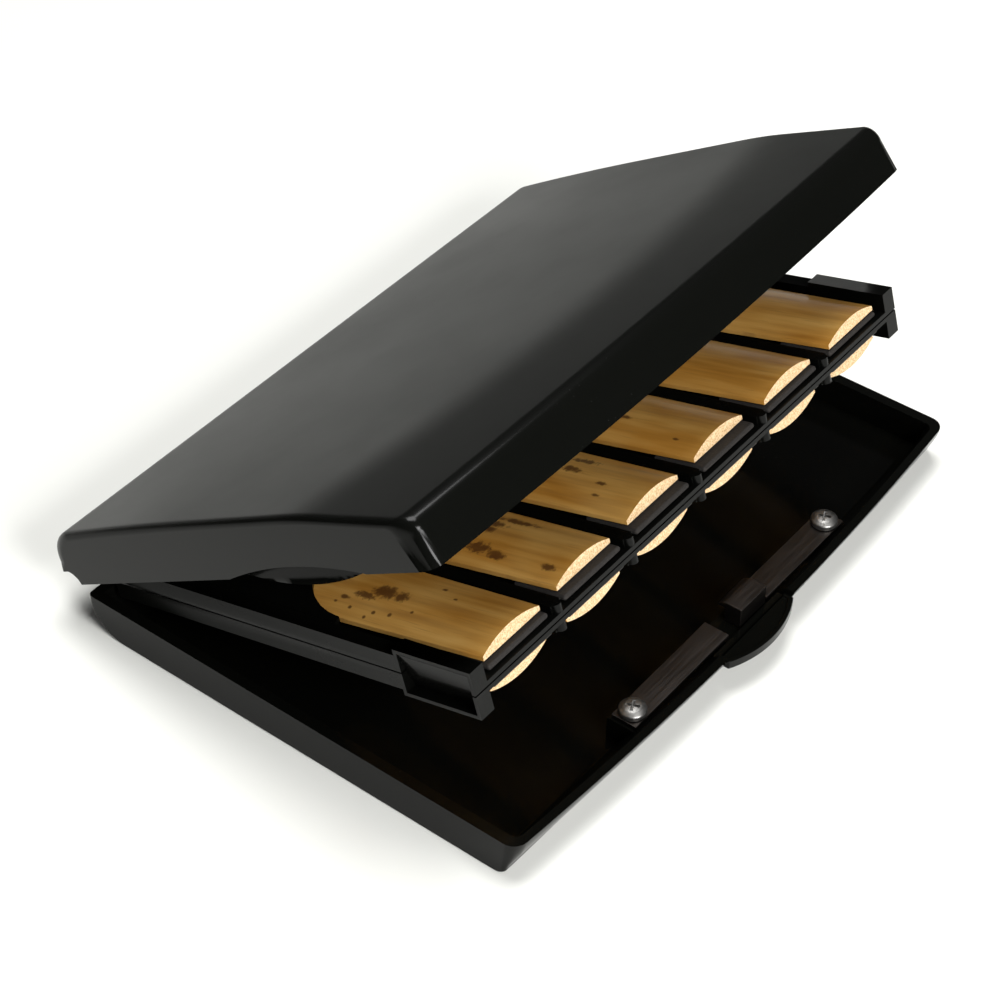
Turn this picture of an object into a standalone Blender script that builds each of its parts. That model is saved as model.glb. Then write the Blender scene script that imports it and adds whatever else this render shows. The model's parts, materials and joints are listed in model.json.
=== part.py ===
"""Double-sided reed case: a base and a lid shell with a two-faced reed tray between them on one rear hinge.

Lengths are metres. X runs along the hinge, the front is -Y, and the base rests on Z = 0.
Every leaf is modelled shut, around the hinge pin, and then turned up on its own empty.
"""
import math

import bmesh
import bpy
from mathutils import Matrix, Vector

# Case outline
case_length = 0.1330
front_bow = 0.0027
rim_corner_radius = 0.0026
rear_corner_radius = 0.0010
end_wall = 0.0021
front_wall = 0.0016
shut_gap = 0.0003
running_gap = 0.0003
seat_gap = 0.0002
cut_overrun = 0.0020
leaf_stations = 12
corner_stations = 5

# Base shell
base_height = 0.0077
base_floor = 0.0015
base_rear_wall = 0.0020
base_rear_straight = 0.0013
base_front_tuck = 0.0023
base_front_bow = 0.0009
base_sole_round = 0.0012
base_sole_corner = 0.0008

# Lid shell
lid_rise = 0.0109
lid_rear_drop = 0.0008
lid_front_drop = 0.0023
lid_crown_share = 0.40
crease_share = 0.668
crease_bow = 0.0093
lid_top_wall = 0.0016
lid_rear_wall = 0.0019
lid_rear_overhang = 0.0037
lid_rear_lean = 0.0003
lid_rear_round = 0.0065
lid_ledge_step = 0.0011
lid_front_lean = 0.0008
lid_front_round = 0.0030
lid_end_round = 0.0009
tongue_span = 0.0350
tongue_drop = 0.0030
tongue_rise = 0.0040
tongue_thickness = 0.0010
finger_arch_rise = 0.0019
tongue_centre_share = 0.57

# Hinge
pin_behind = 0.0026
pin_below_rim = 0.0018
pin_radius = 0.00075
pin_clearance = 0.0001
knuckle_radius = 0.0022
knuckle_side_gap = 0.0003
slot_side_gap = 0.00025
arm_inset = 0.0002
base_knuckle = 0.0060
tray_knuckle = 0.0050
lid_knuckle = 0.0060
hinge_inset = 0.0095
notch_radius = 0.0030
notch_sweep_degrees = 70
tray_arm_height = 0.0013
base_arm_drop = 0.0016
lid_arm_front = 0.0017
lid_arm_back = 0.0006
round_sides = 20

# Half open, as photographed
tray_opening = math.radians(15.8)
lid_opening = math.radians(32.3)

# Reed tray: two half trays back to back
tray_width = 0.1246
tray_front_gap = 0.0076
tray_rear_gap = 0.0006
rail_height = 0.0034
divider_height = 0.0026
rail_width = 0.0029
plate_thickness = 0.0008
hood_height = 0.0036
hood_arch_rise = 0.0020
hood_plate = 0.0007
hood_rear_from_pin = 0.0083
hood_rear_wall = 0.0007
hood_front_from_pin = 0.0580
scallop_depth = 0.0110
scallop_half_width = 0.0087
reed_pitch = 0.01982
reeds_per_side = 6
pocket_side_gap = 0.0003
divider_width = 0.0026
nib_radius = 0.0010

# Finger grips at the tray's front corners
ear_height = 0.0046
ear_width = 0.0032
ear_length = 0.0163
ear_border = 0.0010
ear_recess = 0.0021

# Reeds
reed_length = 0.0770
reed_butt_width = 0.0146
reed_tip_width = 0.0176
reed_butt_height = 0.00245
reed_edge_height = 0.00085
reed_vamp_start = 0.0390
reed_tip_height = 0.00022
reed_tip_arc = 0.0050
reed_tip_rest = 0.00120
reed_tip_from_pin = 0.0106
butt_setback = 0.0020
reed_slack = 0.0010
upper_slack_shares = (0.0, 0.55, 0.80, 1.0, -0.20, -0.90)
lower_slack_shares = (0.3, 0.0, 0.15, 0.1, -0.2, -0.1)
reed_flat_height = 0.0026
bark_steps = 8

# Butt pads
pad_width = 0.0154
pad_lead = 0.0012
pad_depth = 0.0110
pad_round = 0.0005

# Latch
strip_below_rim = 0.0014
strip_thickness = 0.0006
strip_width = 0.0051
strip_inner_from_front = 0.0088
strip_half_span = 0.0324
near_strip_end = 0.0046
far_strip_start = 0.0072
screw_inset = 0.0026
screw_head_radius = 0.0025
screw_head_height = 0.0015
screw_dome = 0.0003
screw_shank_radius = 0.00125
screw_bite = 0.0030
boss_margin = 0.0005
cutout_half_width = 0.0104
cutout_below_lever = 0.0011
tab_bulge = 0.0025
tab_below_rim = 0.0008
tab_thickness = 0.0018
tab_rim_width = 0.0007
tab_dish = 0.0004
lever_thickness = 0.0010
lever_below_strip = 0.0007
hook_start = -0.0012
hook_width = 0.0080
hook_above_rim = 0.0023
hook_nose_depth = 0.0016
hook_nose_height = 0.0014
hook_ramp_drop = 0.0010
catch_width = 0.0070
catch_thickness = 0.0012
catch_overlap = 0.0005
catch_ledge_height = 0.0010
catch_foot_share = 3

reed_front_from_pin = reed_length + reed_tip_from_pin
tray_front_from_pin = reed_front_from_pin + butt_setback
case_depth = tray_front_from_pin + tray_front_gap - pin_behind
half_length = case_length / 2
half_depth = case_depth / 2
pin_y = half_depth + pin_behind
pin_z = base_height - pin_below_rim
rim_z = base_height + shut_gap
mid_z = base_height + shut_gap / 2
half_seam = shut_gap / 2
base_rear_round = base_height - base_rear_straight
strip_z = base_height - strip_below_rim
tab_top = base_height - tab_below_rim
lever_top = strip_z - lever_below_strip
lever_bottom = lever_top - lever_thickness
cutout_bottom = lever_bottom - cutout_below_lever
hook_top = base_height + hook_above_rim
tray_front_y = pin_y - tray_front_from_pin
lid_ledge_y = half_depth - lid_rear_wall - lid_ledge_step
tray_rear_y = lid_ledge_y - tray_rear_gap
bore_radius = pin_radius + pin_clearance
pin_place = Vector((0, pin_y, pin_z))


def reset_scene():
    for obj in list(bpy.data.objects):
        bpy.data.objects.remove(obj, do_unlink=True)


def collection(name):
    group = bpy.data.collections.new(name)
    bpy.context.scene.collection.children.link(group)
    return group


def finish_material(name, colour, roughness, metallic=0.0):
    material = bpy.data.materials.new(name)
    material.use_nodes = True
    shader = material.node_tree.nodes["Principled BSDF"]
    shader.inputs["Base Color"].default_value = (*colour, 1)
    shader.inputs["Roughness"].default_value = roughness
    shader.inputs["Metallic"].default_value = metallic
    return material


def mesh_object(name, bm, group, material=None):
    bmesh.ops.recalc_face_normals(bm, faces=bm.faces)
    mesh = bpy.data.meshes.new(name)
    bm.to_mesh(mesh)
    bm.free()
    obj = bpy.data.objects.new(name, mesh)
    group.objects.link(obj)
    if material:
        mesh.materials.append(material)
    return obj


def tool_object(name, bm):
    obj = mesh_object(name, bm, tools)
    obj.hide_render = True
    obj.display_type = "WIRE"
    return obj


def boolean(obj, operation, tool):
    modifier = obj.modifiers.new(tool.name, "BOOLEAN")
    modifier.operation = operation
    modifier.object = tool
    modifier.solver = "EXACT"


def add_box(bm, low, high):
    made = bmesh.ops.create_cube(bm, size=1)["verts"]
    low, high = Vector(low), Vector(high)
    size = high - low
    bmesh.ops.scale(bm, vec=size, verts=made)
    bmesh.ops.translate(bm, vec=(low + high) / 2, verts=made)
    return made


def add_rod(bm, start, end, radius, sides=round_sides):
    start, end = Vector(start), Vector(end)
    along = end - start
    turn = along.to_track_quat("Z", "Y").to_matrix().to_4x4()
    place = Matrix.Translation((start + end) / 2) @ turn
    return bmesh.ops.create_cone(bm, cap_ends=True, segments=sides, radius1=radius, radius2=radius,
                                 depth=along.length, matrix=place)["verts"]


def add_prism(bm, outline, start, end, axis="X"):
    """A flat outline of (a, b) pairs swept along one axis: (y, z) along X, (x, z) along Y, (x, y) along Z."""
    if axis == "X":
        loops = [[Vector((x, a, b)) for a, b in outline] for x in (start, end)]
    elif axis == "Y":
        loops = [[Vector((a, y, b)) for a, b in outline] for y in (start, end)]
    else:
        loops = [[Vector((a, b, z)) for a, b in outline] for z in (start, end)]
    return add_loft(bm, loops)


def add_loft(bm, loops):
    rings = [[bm.verts.new(point) for point in loop] for loop in loops]
    count = len(rings[0])
    for here, there in zip(rings, rings[1:]):
        for i in range(count):
            bm.faces.new((here[i], here[(i + 1) % count], there[(i + 1) % count], there[i]))
    bm.faces.new(rings[0])
    bm.faces.new(list(reversed(rings[-1])))
    return [vert for ring in rings for vert in ring]


def arc(centre, radius, start, end, steps):
    """Points (y, z) on a circle from one angle to another, in degrees from +Y toward +Z."""
    points = []
    for i in range(steps + 1):
        angle = math.radians(start + (end - start) * i / steps)
        points.append((centre[0] + radius * math.cos(angle), centre[1] + radius * math.sin(angle)))
    return points


def corner_pull(inset, radius):
    """How far a rounded plan corner is drawn in, at a distance inset from the end."""
    if inset >= radius:
        return 0.0
    return radius - math.sqrt(radius ** 2 - (radius - inset) ** 2)


def end_stations(reach, radius):
    """X places along a leaf: close together round the corners, even between them."""
    turns = [math.radians(90 * i / corner_stations) for i in range(corner_stations)]
    corners = [reach - radius * (1 - math.cos(turn)) for turn in turns]
    inner = reach - radius
    middle = [inner - 2 * inner * i / leaf_stations for i in range(leaf_stations + 1)]
    return [-x for x in corners] + [-x for x in middle] + [x for x in reversed(corners)]


def bow_share(x):
    return 1 - (x / half_length) ** 2


def rim_front_y(x, inset):
    return -half_depth - front_bow * bow_share(x) + corner_pull(inset, rim_corner_radius)


def sole_front_y(x, inset):
    bow = base_front_bow * bow_share(x)
    return -half_depth + base_front_tuck - bow + corner_pull(inset, base_sole_corner)


def base_section(x):
    inset = half_length - abs(x)
    rear = half_depth - corner_pull(inset, rear_corner_radius)
    rim = rim_front_y(x, inset)
    sole = sole_front_y(x, inset)
    points = [(rim, base_height)]
    for share in (0.25, 0.5, 0.75):
        z = base_height + (base_sole_round - base_height) * share
        points.append((rim + (sole - rim) * share ** 1.4, z))
    points += arc((sole + base_sole_round, base_sole_round), base_sole_round, 180, 270, 4)
    centre = (rear - base_rear_round, base_rear_round)
    points += arc(centre, base_rear_round, 270, 360, 8)
    points.append((rear, base_height))
    return [Vector((x, y, z)) for y, z in points]


def base_room_section(x):
    inset = half_length - end_wall - abs(x)
    corner = rim_corner_radius - end_wall / 2
    rim = -half_depth - front_bow * bow_share(x) + front_wall + corner_pull(inset, corner)
    sole = sole_front_y(x, half_length) + front_wall
    inner_round = base_rear_round - base_floor
    rear = half_depth - base_rear_wall
    points = [(rim, base_height + cut_overrun), (rim, base_height)]
    points.append((rim + (sole - rim) / 2, (base_height + base_floor) / 2 + base_sole_round))
    points += [(sole, base_floor + base_sole_round), (sole + base_sole_round, base_floor)]
    centre = (rear - inner_round, base_floor + inner_round)
    points += arc(centre, inner_round, 270, 360, 6)
    points.append((rear, base_height + cut_overrun))
    return [Vector((x, y, z)) for y, z in points]


def lid_top_z(x, y, wall=0.0):
    """Height of the lid's top: a gentle arch, then a plain fall to the front past a bowed crease."""
    depth = 2 * half_depth
    share = (half_depth - y) / depth
    crown = lid_crown_share
    arch = lid_rear_drop * ((crown - share) / crown) ** 2 if share < crown else 0.0
    crease = crease_share + crease_bow * bow_share(x) / depth
    past = max(0.0, share - crease) * depth
    fall_length = depth * (1 - crease_share)
    soft = crease_bow
    ease = past ** 2 / (2 * soft) if past < soft else past - soft / 2
    fall = lid_front_drop * ease / (fall_length - soft / 2)
    return rim_z + lid_rise - arch - fall - wall


def lid_section(x):
    inset = half_length - abs(x)
    end_drop = corner_pull(inset, lid_end_round)
    pull = corner_pull(inset, rim_corner_radius)
    front = -half_depth - front_bow * bow_share(x) + pull
    rear = half_depth + lid_rear_overhang - corner_pull(inset, rear_corner_radius)
    points = arc((pin_y, rim_z), notch_radius, 180, 180 - notch_sweep_degrees, 5)
    foot = points[-1][1]
    points.append((rear, foot))
    back = rear - lid_rear_lean
    round_y = back - lid_rear_round
    round_z = lid_top_z(x, round_y) - lid_rear_round
    points += [(y, z) for y, z in arc((round_y, round_z), lid_rear_round - end_drop, 10, 90, 6)]
    nose = front + lid_front_lean
    front_round = lid_front_round
    last = nose + front_round
    steps = 11
    for i in range(1, steps):
        y = round_y + (last - round_y) * i / steps
        points.append((y, lid_top_z(x, y) - end_drop))
    centre = (last, lid_top_z(x, last) - front_round)
    points += arc(centre, front_round - end_drop, 90, 180, 6)
    points.append((front + min(end_drop, lid_end_round / 2), rim_z))
    return [Vector((x, y, z)) for y, z in points]


def lid_room_section(x):
    inset = half_length - end_wall - abs(x)
    corner = rim_corner_radius - end_wall / 2
    front = -half_depth - front_bow * bow_share(x) + front_wall + corner_pull(inset, corner)
    upper = half_depth + lid_rear_overhang - lid_rear_wall
    points = [(lid_ledge_y, rim_z - cut_overrun), (lid_ledge_y, rim_z + lid_rear_wall)]
    inner_round = lid_rear_round - lid_top_wall / 2
    round_y = upper - inner_round
    round_z = lid_top_z(x, round_y, lid_top_wall) - inner_round
    points += arc((round_y, round_z), inner_round, 90 - notch_sweep_degrees, 90, 5)
    front_round = lid_front_round - lid_top_wall / 2
    last = front + lid_front_lean + front_round
    steps = 7
    for i in range(1, steps):
        y = round_y + (last - round_y) * i / steps
        points.append((y, lid_top_z(x, y, lid_top_wall)))
    centre = (last, lid_top_z(x, last, lid_top_wall) - front_round)
    points += arc(centre, front_round, 90, 180, 4)
    points.append((front, rim_z - cut_overrun))
    return [Vector((x, y, z)) for y, z in points]


def shell(name, section, room_section, group, material):
    bm = bmesh.new()
    add_loft(bm, [section(x) for x in end_stations(half_length, rim_corner_radius)])
    obj = mesh_object(name, bm, group, material)
    bm = bmesh.new()
    reach = half_length - end_wall
    add_loft(bm, [room_section(x) for x in end_stations(reach, rim_corner_radius - end_wall / 2)])
    boolean(obj, "DIFFERENCE", tool_object(name + "_room", bm))
    return obj


def hinge_spans(side):
    """X ranges of the knuckles of one hinge, from its outer end inward, with side -1 or 1."""
    spans = {}
    x = half_length - hinge_inset
    for name, width in (("base_outer", base_knuckle), ("tray", tray_knuckle),
                        ("lid", lid_knuckle), ("base_inner", base_knuckle)):
        spans[name] = tuple(sorted((side * x, side * (x - width))))
        x -= width + knuckle_side_gap
    return spans


def knuckles(names, arm, axis_z=None):
    """Barrels on the pin with the arms that carry them; arm gives each arm's low and high (y, z)."""
    axis_z = pin_z if axis_z is None else axis_z
    bm = bmesh.new()
    for side in (-1, 1):
        for name in names:
            low, high = hinge_spans(side)[name]
            add_rod(bm, (low, pin_y, axis_z), (high, pin_y, axis_z), knuckle_radius)
    barrels = tool_object("knuckles_" + names[0], bm)
    bm = bmesh.new()
    for side in (-1, 1):
        for name in names:
            low, high = hinge_spans(side)[name]
            add_box(bm, (low + arm_inset, arm[0][0], arm[0][1]), (high - arm_inset, arm[1][0], arm[1][1]))
    arms = tool_object("arms_" + names[0], bm)
    bm = bmesh.new()
    for side in (-1, 1):
        for name in names:
            low, high = hinge_spans(side)[name]
            add_rod(bm, (low - cut_overrun, pin_y, axis_z), (high + cut_overrun, pin_y, axis_z), bore_radius)
    bores = tool_object("bores_" + names[0], bm)
    return arms, barrels, bores


def carry(obj, leaf):
    """Hang a piece that was modelled shut on its leaf, with the piece's origin on the hinge pin."""
    obj.data.transform(Matrix.Translation(-pin_place))
    obj.parent = leaf


def tongue_outline():
    """The lens-shaped tongue inside the lid's end wall, (y, z), from its top edge round its bowed foot."""
    centre = half_depth - tongue_centre_share * case_depth
    top = rim_z + tongue_rise
    steps = 14
    foot = []
    for i in range(steps + 1):
        share = 2 * i / steps - 1
        foot.append((centre + share * tongue_span / 2, rim_z - tongue_drop * (1 - share ** 2)))
    return [(centre + tongue_span / 2, top), (centre - tongue_span / 2, top)] + foot


def finger_arch_outline():
    centre = half_depth - tongue_centre_share * case_depth
    steps = 14
    crown = []
    for i in range(steps + 1):
        share = 2 * i / steps - 1
        crown.append((centre + share * tongue_span / 2, rim_z + finger_arch_rise * (1 - share ** 2)))
    return [(centre + tongue_span / 2, rim_z - cut_overrun), (centre - tongue_span / 2, rim_z - cut_overrun)] + crown


def build_base(material):
    base = shell("base_shell", base_section, base_room_section, parts, material)
    arm = ((half_depth - base_rear_wall / 2, pin_z - base_arm_drop), (pin_y, pin_z))
    arms, barrels, bores = knuckles(("base_outer", "base_inner"), arm)
    boolean(base, "UNION", arms)
    boolean(base, "UNION", barrels)

    bm = bmesh.new()
    for side in (-1, 1):
        low, high = hinge_spans(side)["tray"]
        gap = slot_side_gap
        floor = tray_arm_bottom() - running_gap
        add_box(bm, (low - gap, half_depth - base_rear_wall - cut_overrun, floor),
                (high + gap, half_depth + cut_overrun, base_height + cut_overrun))
    arm_slots = tool_object("arm_slots", bm)
    boolean(base, "DIFFERENCE", arm_slots)
    boolean(base, "DIFFERENCE", bores)

    inner = -half_depth - front_bow + strip_inner_from_front
    bm = bmesh.new()
    for side in (-1, 1):
        outer_x = side * (strip_half_span + boss_margin)
        inner_x = side * (strip_half_span - 2 * screw_inset - boss_margin)
        low_x, high_x = sorted((outer_x, inner_x))
        add_prism(bm, boss_outline(low_x), low_x, high_x)
    boolean(base, "UNION", tool_object("strip_bosses", bm))

    bm = bmesh.new()
    for side in (-1, 1):
        x = side * (strip_half_span - screw_inset)
        depth = strip_z - screw_bite - running_gap
        add_rod(bm, (x, strip_centre_y(), depth), (x, strip_centre_y(), strip_z + cut_overrun),
                screw_shank_radius + seat_gap)
    boolean(base, "DIFFERENCE", tool_object("screw_holes", bm))

    bm = bmesh.new()
    reach = front_bow + cut_overrun
    add_box(bm, (-cutout_half_width, -half_depth - reach, cutout_bottom),
            (cutout_half_width, strip_centre_y(), base_height + cut_overrun))
    boolean(base, "DIFFERENCE", tool_object("tab_cutout", bm))
    return base


def boss_outline(x):
    """Side view (y, z) of a screw boss, whose foot follows the sloped front wall."""
    inner = -half_depth - front_bow + strip_inner_from_front + boss_margin
    outer = inner - strip_width - 2 * boss_margin
    foot = sole_front_y(x, half_length) + front_wall / 2
    top = strip_z - seat_gap
    return [(outer, top), (outer, (base_height + base_floor) / 2), (foot, base_floor / 2), (inner, base_floor / 2), (inner, top)]


def strip_centre_y():
    return -half_depth - front_bow + strip_inner_from_front - strip_width / 2


def tray_arm_bottom():
    return mid_z - half_seam - tray_arm_height


def build_lid(leaf, material, catch_material):
    lid = shell("lid_shell", lid_section, lid_room_section, parts, material)

    bm = bmesh.new()
    inner = half_length - end_wall
    for side in (-1, 1):
        add_prism(bm, finger_arch_outline(), side * (inner - cut_overrun / 4), side * (half_length + cut_overrun))
    arches = tool_object("finger_arches", bm)
    boolean(lid, "DIFFERENCE", arches)

    bm = bmesh.new()
    for side in (-1, 1):
        face = inner - running_gap
        add_prism(bm, tongue_outline(), side * (face - tongue_thickness), side * face)
    tongues = tool_object("tongues", bm)
    boolean(lid, "UNION", tongues)

    bm = bmesh.new()
    centre = half_depth - tongue_centre_share * case_depth
    bridge_low = rim_z + finger_arch_rise + tongue_thickness / 2
    for side in (-1, 1):
        low, high = sorted((side * (inner - running_gap - tongue_thickness), side * (inner + end_wall / 2)))
        add_box(bm, (low, centre - tongue_span / 2 + tongue_thickness, bridge_low),
                (high, centre + tongue_span / 2 - tongue_thickness, rim_z + tongue_rise - tongue_thickness / 2))
    bridges = tool_object("tongue_bridges", bm)
    boolean(lid, "UNION", bridges)

    arm = ((pin_y - lid_arm_front, pin_z), (pin_y - lid_arm_back, rim_z + notch_radius + lid_rear_wall / 3))
    arms, barrels, bores = knuckles(("lid",), arm)
    boolean(lid, "UNION", arms)
    boolean(lid, "UNION", barrels)
    boolean(lid, "DIFFERENCE", bores)

    pieces = [lid, bpy.data.objects["lid_shell_room"], arches, tongues, bridges, arms, barrels, bores]

    plate = hook_tip_y() + running_gap
    ledge_top = hook_nose_bottom() - running_gap
    ledge_low = ledge_top - catch_ledge_height
    ledge_tip = hook_tip_y() - catch_overlap
    head = plate + catch_foot_share * catch_thickness
    plate_top = lid_top_z(0, plate, lid_top_wall) - seat_gap
    head_top = lid_top_z(0, head, lid_top_wall) - seat_gap
    outline = [(ledge_tip, ledge_top), (ledge_tip, ledge_low + catch_ledge_height / 2),
               (plate, ledge_low), (plate + catch_thickness, ledge_low),
               (plate + catch_thickness, plate_top - catch_foot_share * catch_thickness),
               (head, head_top - catch_thickness), (head, head_top), (plate, plate_top), (plate, ledge_top)]
    middle = hook_start + hook_width / 2
    bm = bmesh.new()
    add_prism(bm, outline, middle - catch_width / 2, middle + catch_width / 2)
    catch = mesh_object("lid_catch", bm, parts, catch_material)
    pieces.append(catch)
    for piece in pieces:
        carry(piece, leaf)


def build_pins(material):
    for side, name in ((-1, "hinge_pin_left"), (1, "hinge_pin_right")):
        spans = hinge_spans(side)
        edges = [x for span in spans.values() for x in span]
        bm = bmesh.new()
        add_rod(bm, (min(edges), pin_y, pin_z), (max(edges), pin_y, pin_z), pin_radius, round_sides - 4)
        mesh_object(name, bm, parts, material)


def reed_centre_x(index):
    return (index - (reeds_per_side - 1) / 2) * reed_pitch


def pocket_width():
    return reed_tip_width + 2 * pocket_side_gap


def arched(centre, half_width, foot, rise):
    """Points (x, z) over one reed, from the left foot of an arch to its right foot."""
    radius = (half_width ** 2 + rise ** 2) / (2 * rise)
    steps = 10
    points = []
    for i in range(steps + 1):
        across = half_width * (2 * i / steps - 1)
        points.append((centre + across, foot + rise - radius + math.sqrt(radius ** 2 - across ** 2)))
    return points


def hood_outline(side, low):
    """Front view (x, z) of the hood: one barrel arch over each pocket."""
    foot = mid_z + hood_height
    points = [(side, low), (-side, low), (-side, foot)]
    for i in range(reeds_per_side):
        points += arched(reed_centre_x(i), pocket_width() / 2 + hood_plate, foot, hood_arch_rise)
    return points + [(side, foot)]


def pocket_outline(centre, low):
    half = pocket_width() / 2
    points = arched(centre, half, mid_z + hood_height - hood_plate, hood_arch_rise)
    return [(centre + half, low), (centre - half, low)] + points


def scallop_outline(centre):
    """Plan outline (x, y) of the rounded opening over one reed, open toward the front."""
    front = pin_y - hood_front_from_pin
    steps = 12
    curve = []
    for i in range(steps + 1):
        angle = math.radians(180 * i / steps)
        curve.append((centre + scallop_half_width * math.cos(angle), front + scallop_depth * math.sin(angle)))
    end = front - cut_overrun
    return curve + [(centre - scallop_half_width, end), (centre + scallop_half_width, end)]


def upper_half_parts():
    """Solids to join and solids to cut for a half tray that lies above the parting plane."""
    low = mid_z + half_seam
    plate_top = low + plate_thickness
    half = tray_width / 2
    hood_side = half - rail_width

    plate = bmesh.new()
    add_box(plate, (-half, tray_front_y, low), (half, tray_rear_y, plate_top))

    rails = bmesh.new()
    for side in (-1, 1):
        x0, x1 = sorted((side * half, side * hood_side))
        add_box(rails, (x0, tray_front_y, low), (x1, tray_rear_y, mid_z + rail_height))

    hood = bmesh.new()
    hood_front = pin_y - hood_front_from_pin
    hood_rear = pin_y - hood_rear_from_pin
    add_prism(hood, hood_outline(hood_side, low), hood_front, hood_rear, axis="Y")

    dividers = bmesh.new()
    for i in range(reeds_per_side - 1):
        x = (reed_centre_x(i) + reed_centre_x(i + 1)) / 2
        add_box(dividers, (x - divider_width / 2, tray_front_y + nib_radius, low),
                (x + divider_width / 2, hood_front + cut_overrun, mid_z + divider_height))

    nibs = bmesh.new()
    for i in range(reeds_per_side - 1):
        x = (reed_centre_x(i) + reed_centre_x(i + 1)) / 2
        add_rod(nibs, (x, tray_front_y + nib_radius, low), (x, tray_front_y + nib_radius, mid_z + divider_height),
                nib_radius, 10)

    ears = bmesh.new()
    for side in (-1, 1):
        x0, x1 = sorted((side * half, side * (half - ear_width)))
        add_box(ears, (x0, tray_front_y, low), (x1, tray_front_y + ear_length, mid_z + ear_height))

    pockets = bmesh.new()
    for i in range(reeds_per_side):
        x = reed_centre_x(i)
        add_prism(pockets, pocket_outline(x, plate_top), hood_front - cut_overrun, hood_rear - hood_rear_wall, axis="Y")

    scallops = bmesh.new()
    for i in range(reeds_per_side):
        add_prism(scallops, scallop_outline(reed_centre_x(i)), mid_z + hood_height - 2 * hood_plate,
                  mid_z + hood_height + hood_arch_rise + cut_overrun, axis="Z")

    grips = bmesh.new()
    for side in (-1, 1):
        x0, x1 = sorted((side * (half + cut_overrun), side * (half - ear_recess)))
        add_box(grips, (x0, tray_front_y + ear_border, low - cut_overrun),
                (x1, tray_front_y + ear_length - ear_border, mid_z + ear_height - ear_border))
    return [plate, rails, hood, dividers, nibs, ears], [pockets, scallops, grips]


def build_half_tray(name, above, leaf, material):
    adds, cuts = upper_half_parts()
    body = mesh_object(name, adds[0], parts, material)
    carried = [body]
    for order, bm in enumerate(adds[1:]):
        tool = tool_object(f"{name}_add_{order}", bm)
        boolean(body, "UNION", tool)
        carried.append(tool)
    for order, bm in enumerate(cuts):
        tool = tool_object(f"{name}_cut_{order}", bm)
        boolean(body, "DIFFERENCE", tool)
        carried.append(tool)
    if not above:
        low = mid_z + half_seam
        arm = ((tray_rear_y - rail_width, low), (pin_y, low + tray_arm_height))
        arms, barrels, bores = knuckles(("tray",), arm, 2 * mid_z - pin_z)
        boolean(body, "UNION", arms)
        boolean(body, "UNION", barrels)
        boolean(body, "DIFFERENCE", bores)
        carried += [arms, barrels, bores]
        flip = Matrix.Translation((0, 0, mid_z)) @ Matrix.Scale(-1, 4, (0, 0, 1)) @ Matrix.Translation((0, 0, -mid_z))
        for obj in carried:
            obj.data.transform(flip)
            obj.data.flip_normals()
    for obj in carried:
        carry(obj, leaf)


def reed_top(share_across, along, half_width):
    """Height of a reed's curved face over its flat, at a share across and a distance from the butt."""
    radius = (half_width ** 2 + (reed_butt_height - reed_edge_height) ** 2) / (2 * (reed_butt_height - reed_edge_height))
    across = share_across * half_width
    bark = reed_butt_height - (radius - math.sqrt(radius ** 2 - across ** 2))
    if along <= reed_vamp_start:
        return bark
    fall = (along - reed_vamp_start) / (reed_length - reed_vamp_start)
    vamp = reed_butt_height * (1 - fall) ** 1.25 + reed_tip_height * fall
    crown = vamp * (1 - 0.35 * share_across ** 2)
    return min(bark, max(crown, reed_tip_height / 2))


def reed_loops(front_y):
    """Cross sections from the butt to the rounded tip, flat side down at the tray's parting plane."""
    stations = [0, reed_vamp_start * 0.5, reed_vamp_start]
    vamp = reed_length - reed_vamp_start
    stations += [reed_vamp_start + vamp * share for share in (0.12, 0.3, 0.5, 0.7)]
    tip = reed_length - reed_tip_arc
    stations += [tip + reed_tip_arc * share for share in (0, 0.35, 0.65, 0.88, 0.98)]
    loops = []
    for along in stations:
        width = reed_butt_width + (reed_tip_width - reed_butt_width) * along / reed_length
        half = width / 2
        past = max(0.0, along - tip) / reed_tip_arc
        half *= math.sqrt(1 - past ** 2) if past else 1
        flat = reed_flat_height + (reed_tip_rest - reed_flat_height) * along / reed_length
        loop = [Vector((half, front_y + along, flat))]
        for i in range(bark_steps + 1):
            share = 1 - 2 * i / bark_steps
            loop.append(Vector((share * half, front_y + along, flat + reed_top(share, along, width / 2))))
        loop.append(Vector((-half, front_y + along, flat)))
        loops.append(loop)
    return loops


def build_reeds(above, leaf, material):
    word = "upper" if above else "lower"
    shares = upper_slack_shares if above else lower_slack_shares
    for i in range(reeds_per_side):
        front = pin_y - reed_front_from_pin + reed_slack * shares[i % len(shares)]
        bm = bmesh.new()
        add_loft(bm, reed_loops(front))
        for vert in bm.verts:
            vert.co.x += reed_centre_x(i)
            vert.co.z = mid_z + vert.co.z * (1 if above else -1)
        reed = mesh_object(f"reed_{word}_{i + 1}", bm, parts, material)
        carry(reed, leaf)


def build_pads(above, leaf, material):
    word = "upper" if above else "lower"
    low = half_seam + plate_thickness + seat_gap
    reach = (pad_depth - pad_lead) / reed_length
    high = reed_flat_height + (reed_tip_rest - reed_flat_height) * reach - seat_gap
    front = pin_y - reed_front_from_pin - pad_lead
    for i in range(reeds_per_side):
        x = reed_centre_x(i)
        bm = bmesh.new()
        if above:
            add_box(bm, (x - pad_width / 2, front, mid_z + low), (x + pad_width / 2, front + pad_depth, mid_z + high))
        else:
            add_box(bm, (x - pad_width / 2, front, mid_z - high), (x + pad_width / 2, front + pad_depth, mid_z - low))
        pad = mesh_object(f"pad_{word}_{i + 1}", bm, parts, material)
        bevel = pad.modifiers.new("soft_edges", "BEVEL")
        bevel.width = pad_round
        bevel.segments = 2
        carry(pad, leaf)


def hook_tip_y():
    return -half_depth - front_bow + strip_inner_from_front - seat_gap


def hook_nose_bottom():
    return hook_top - hook_nose_height


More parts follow.
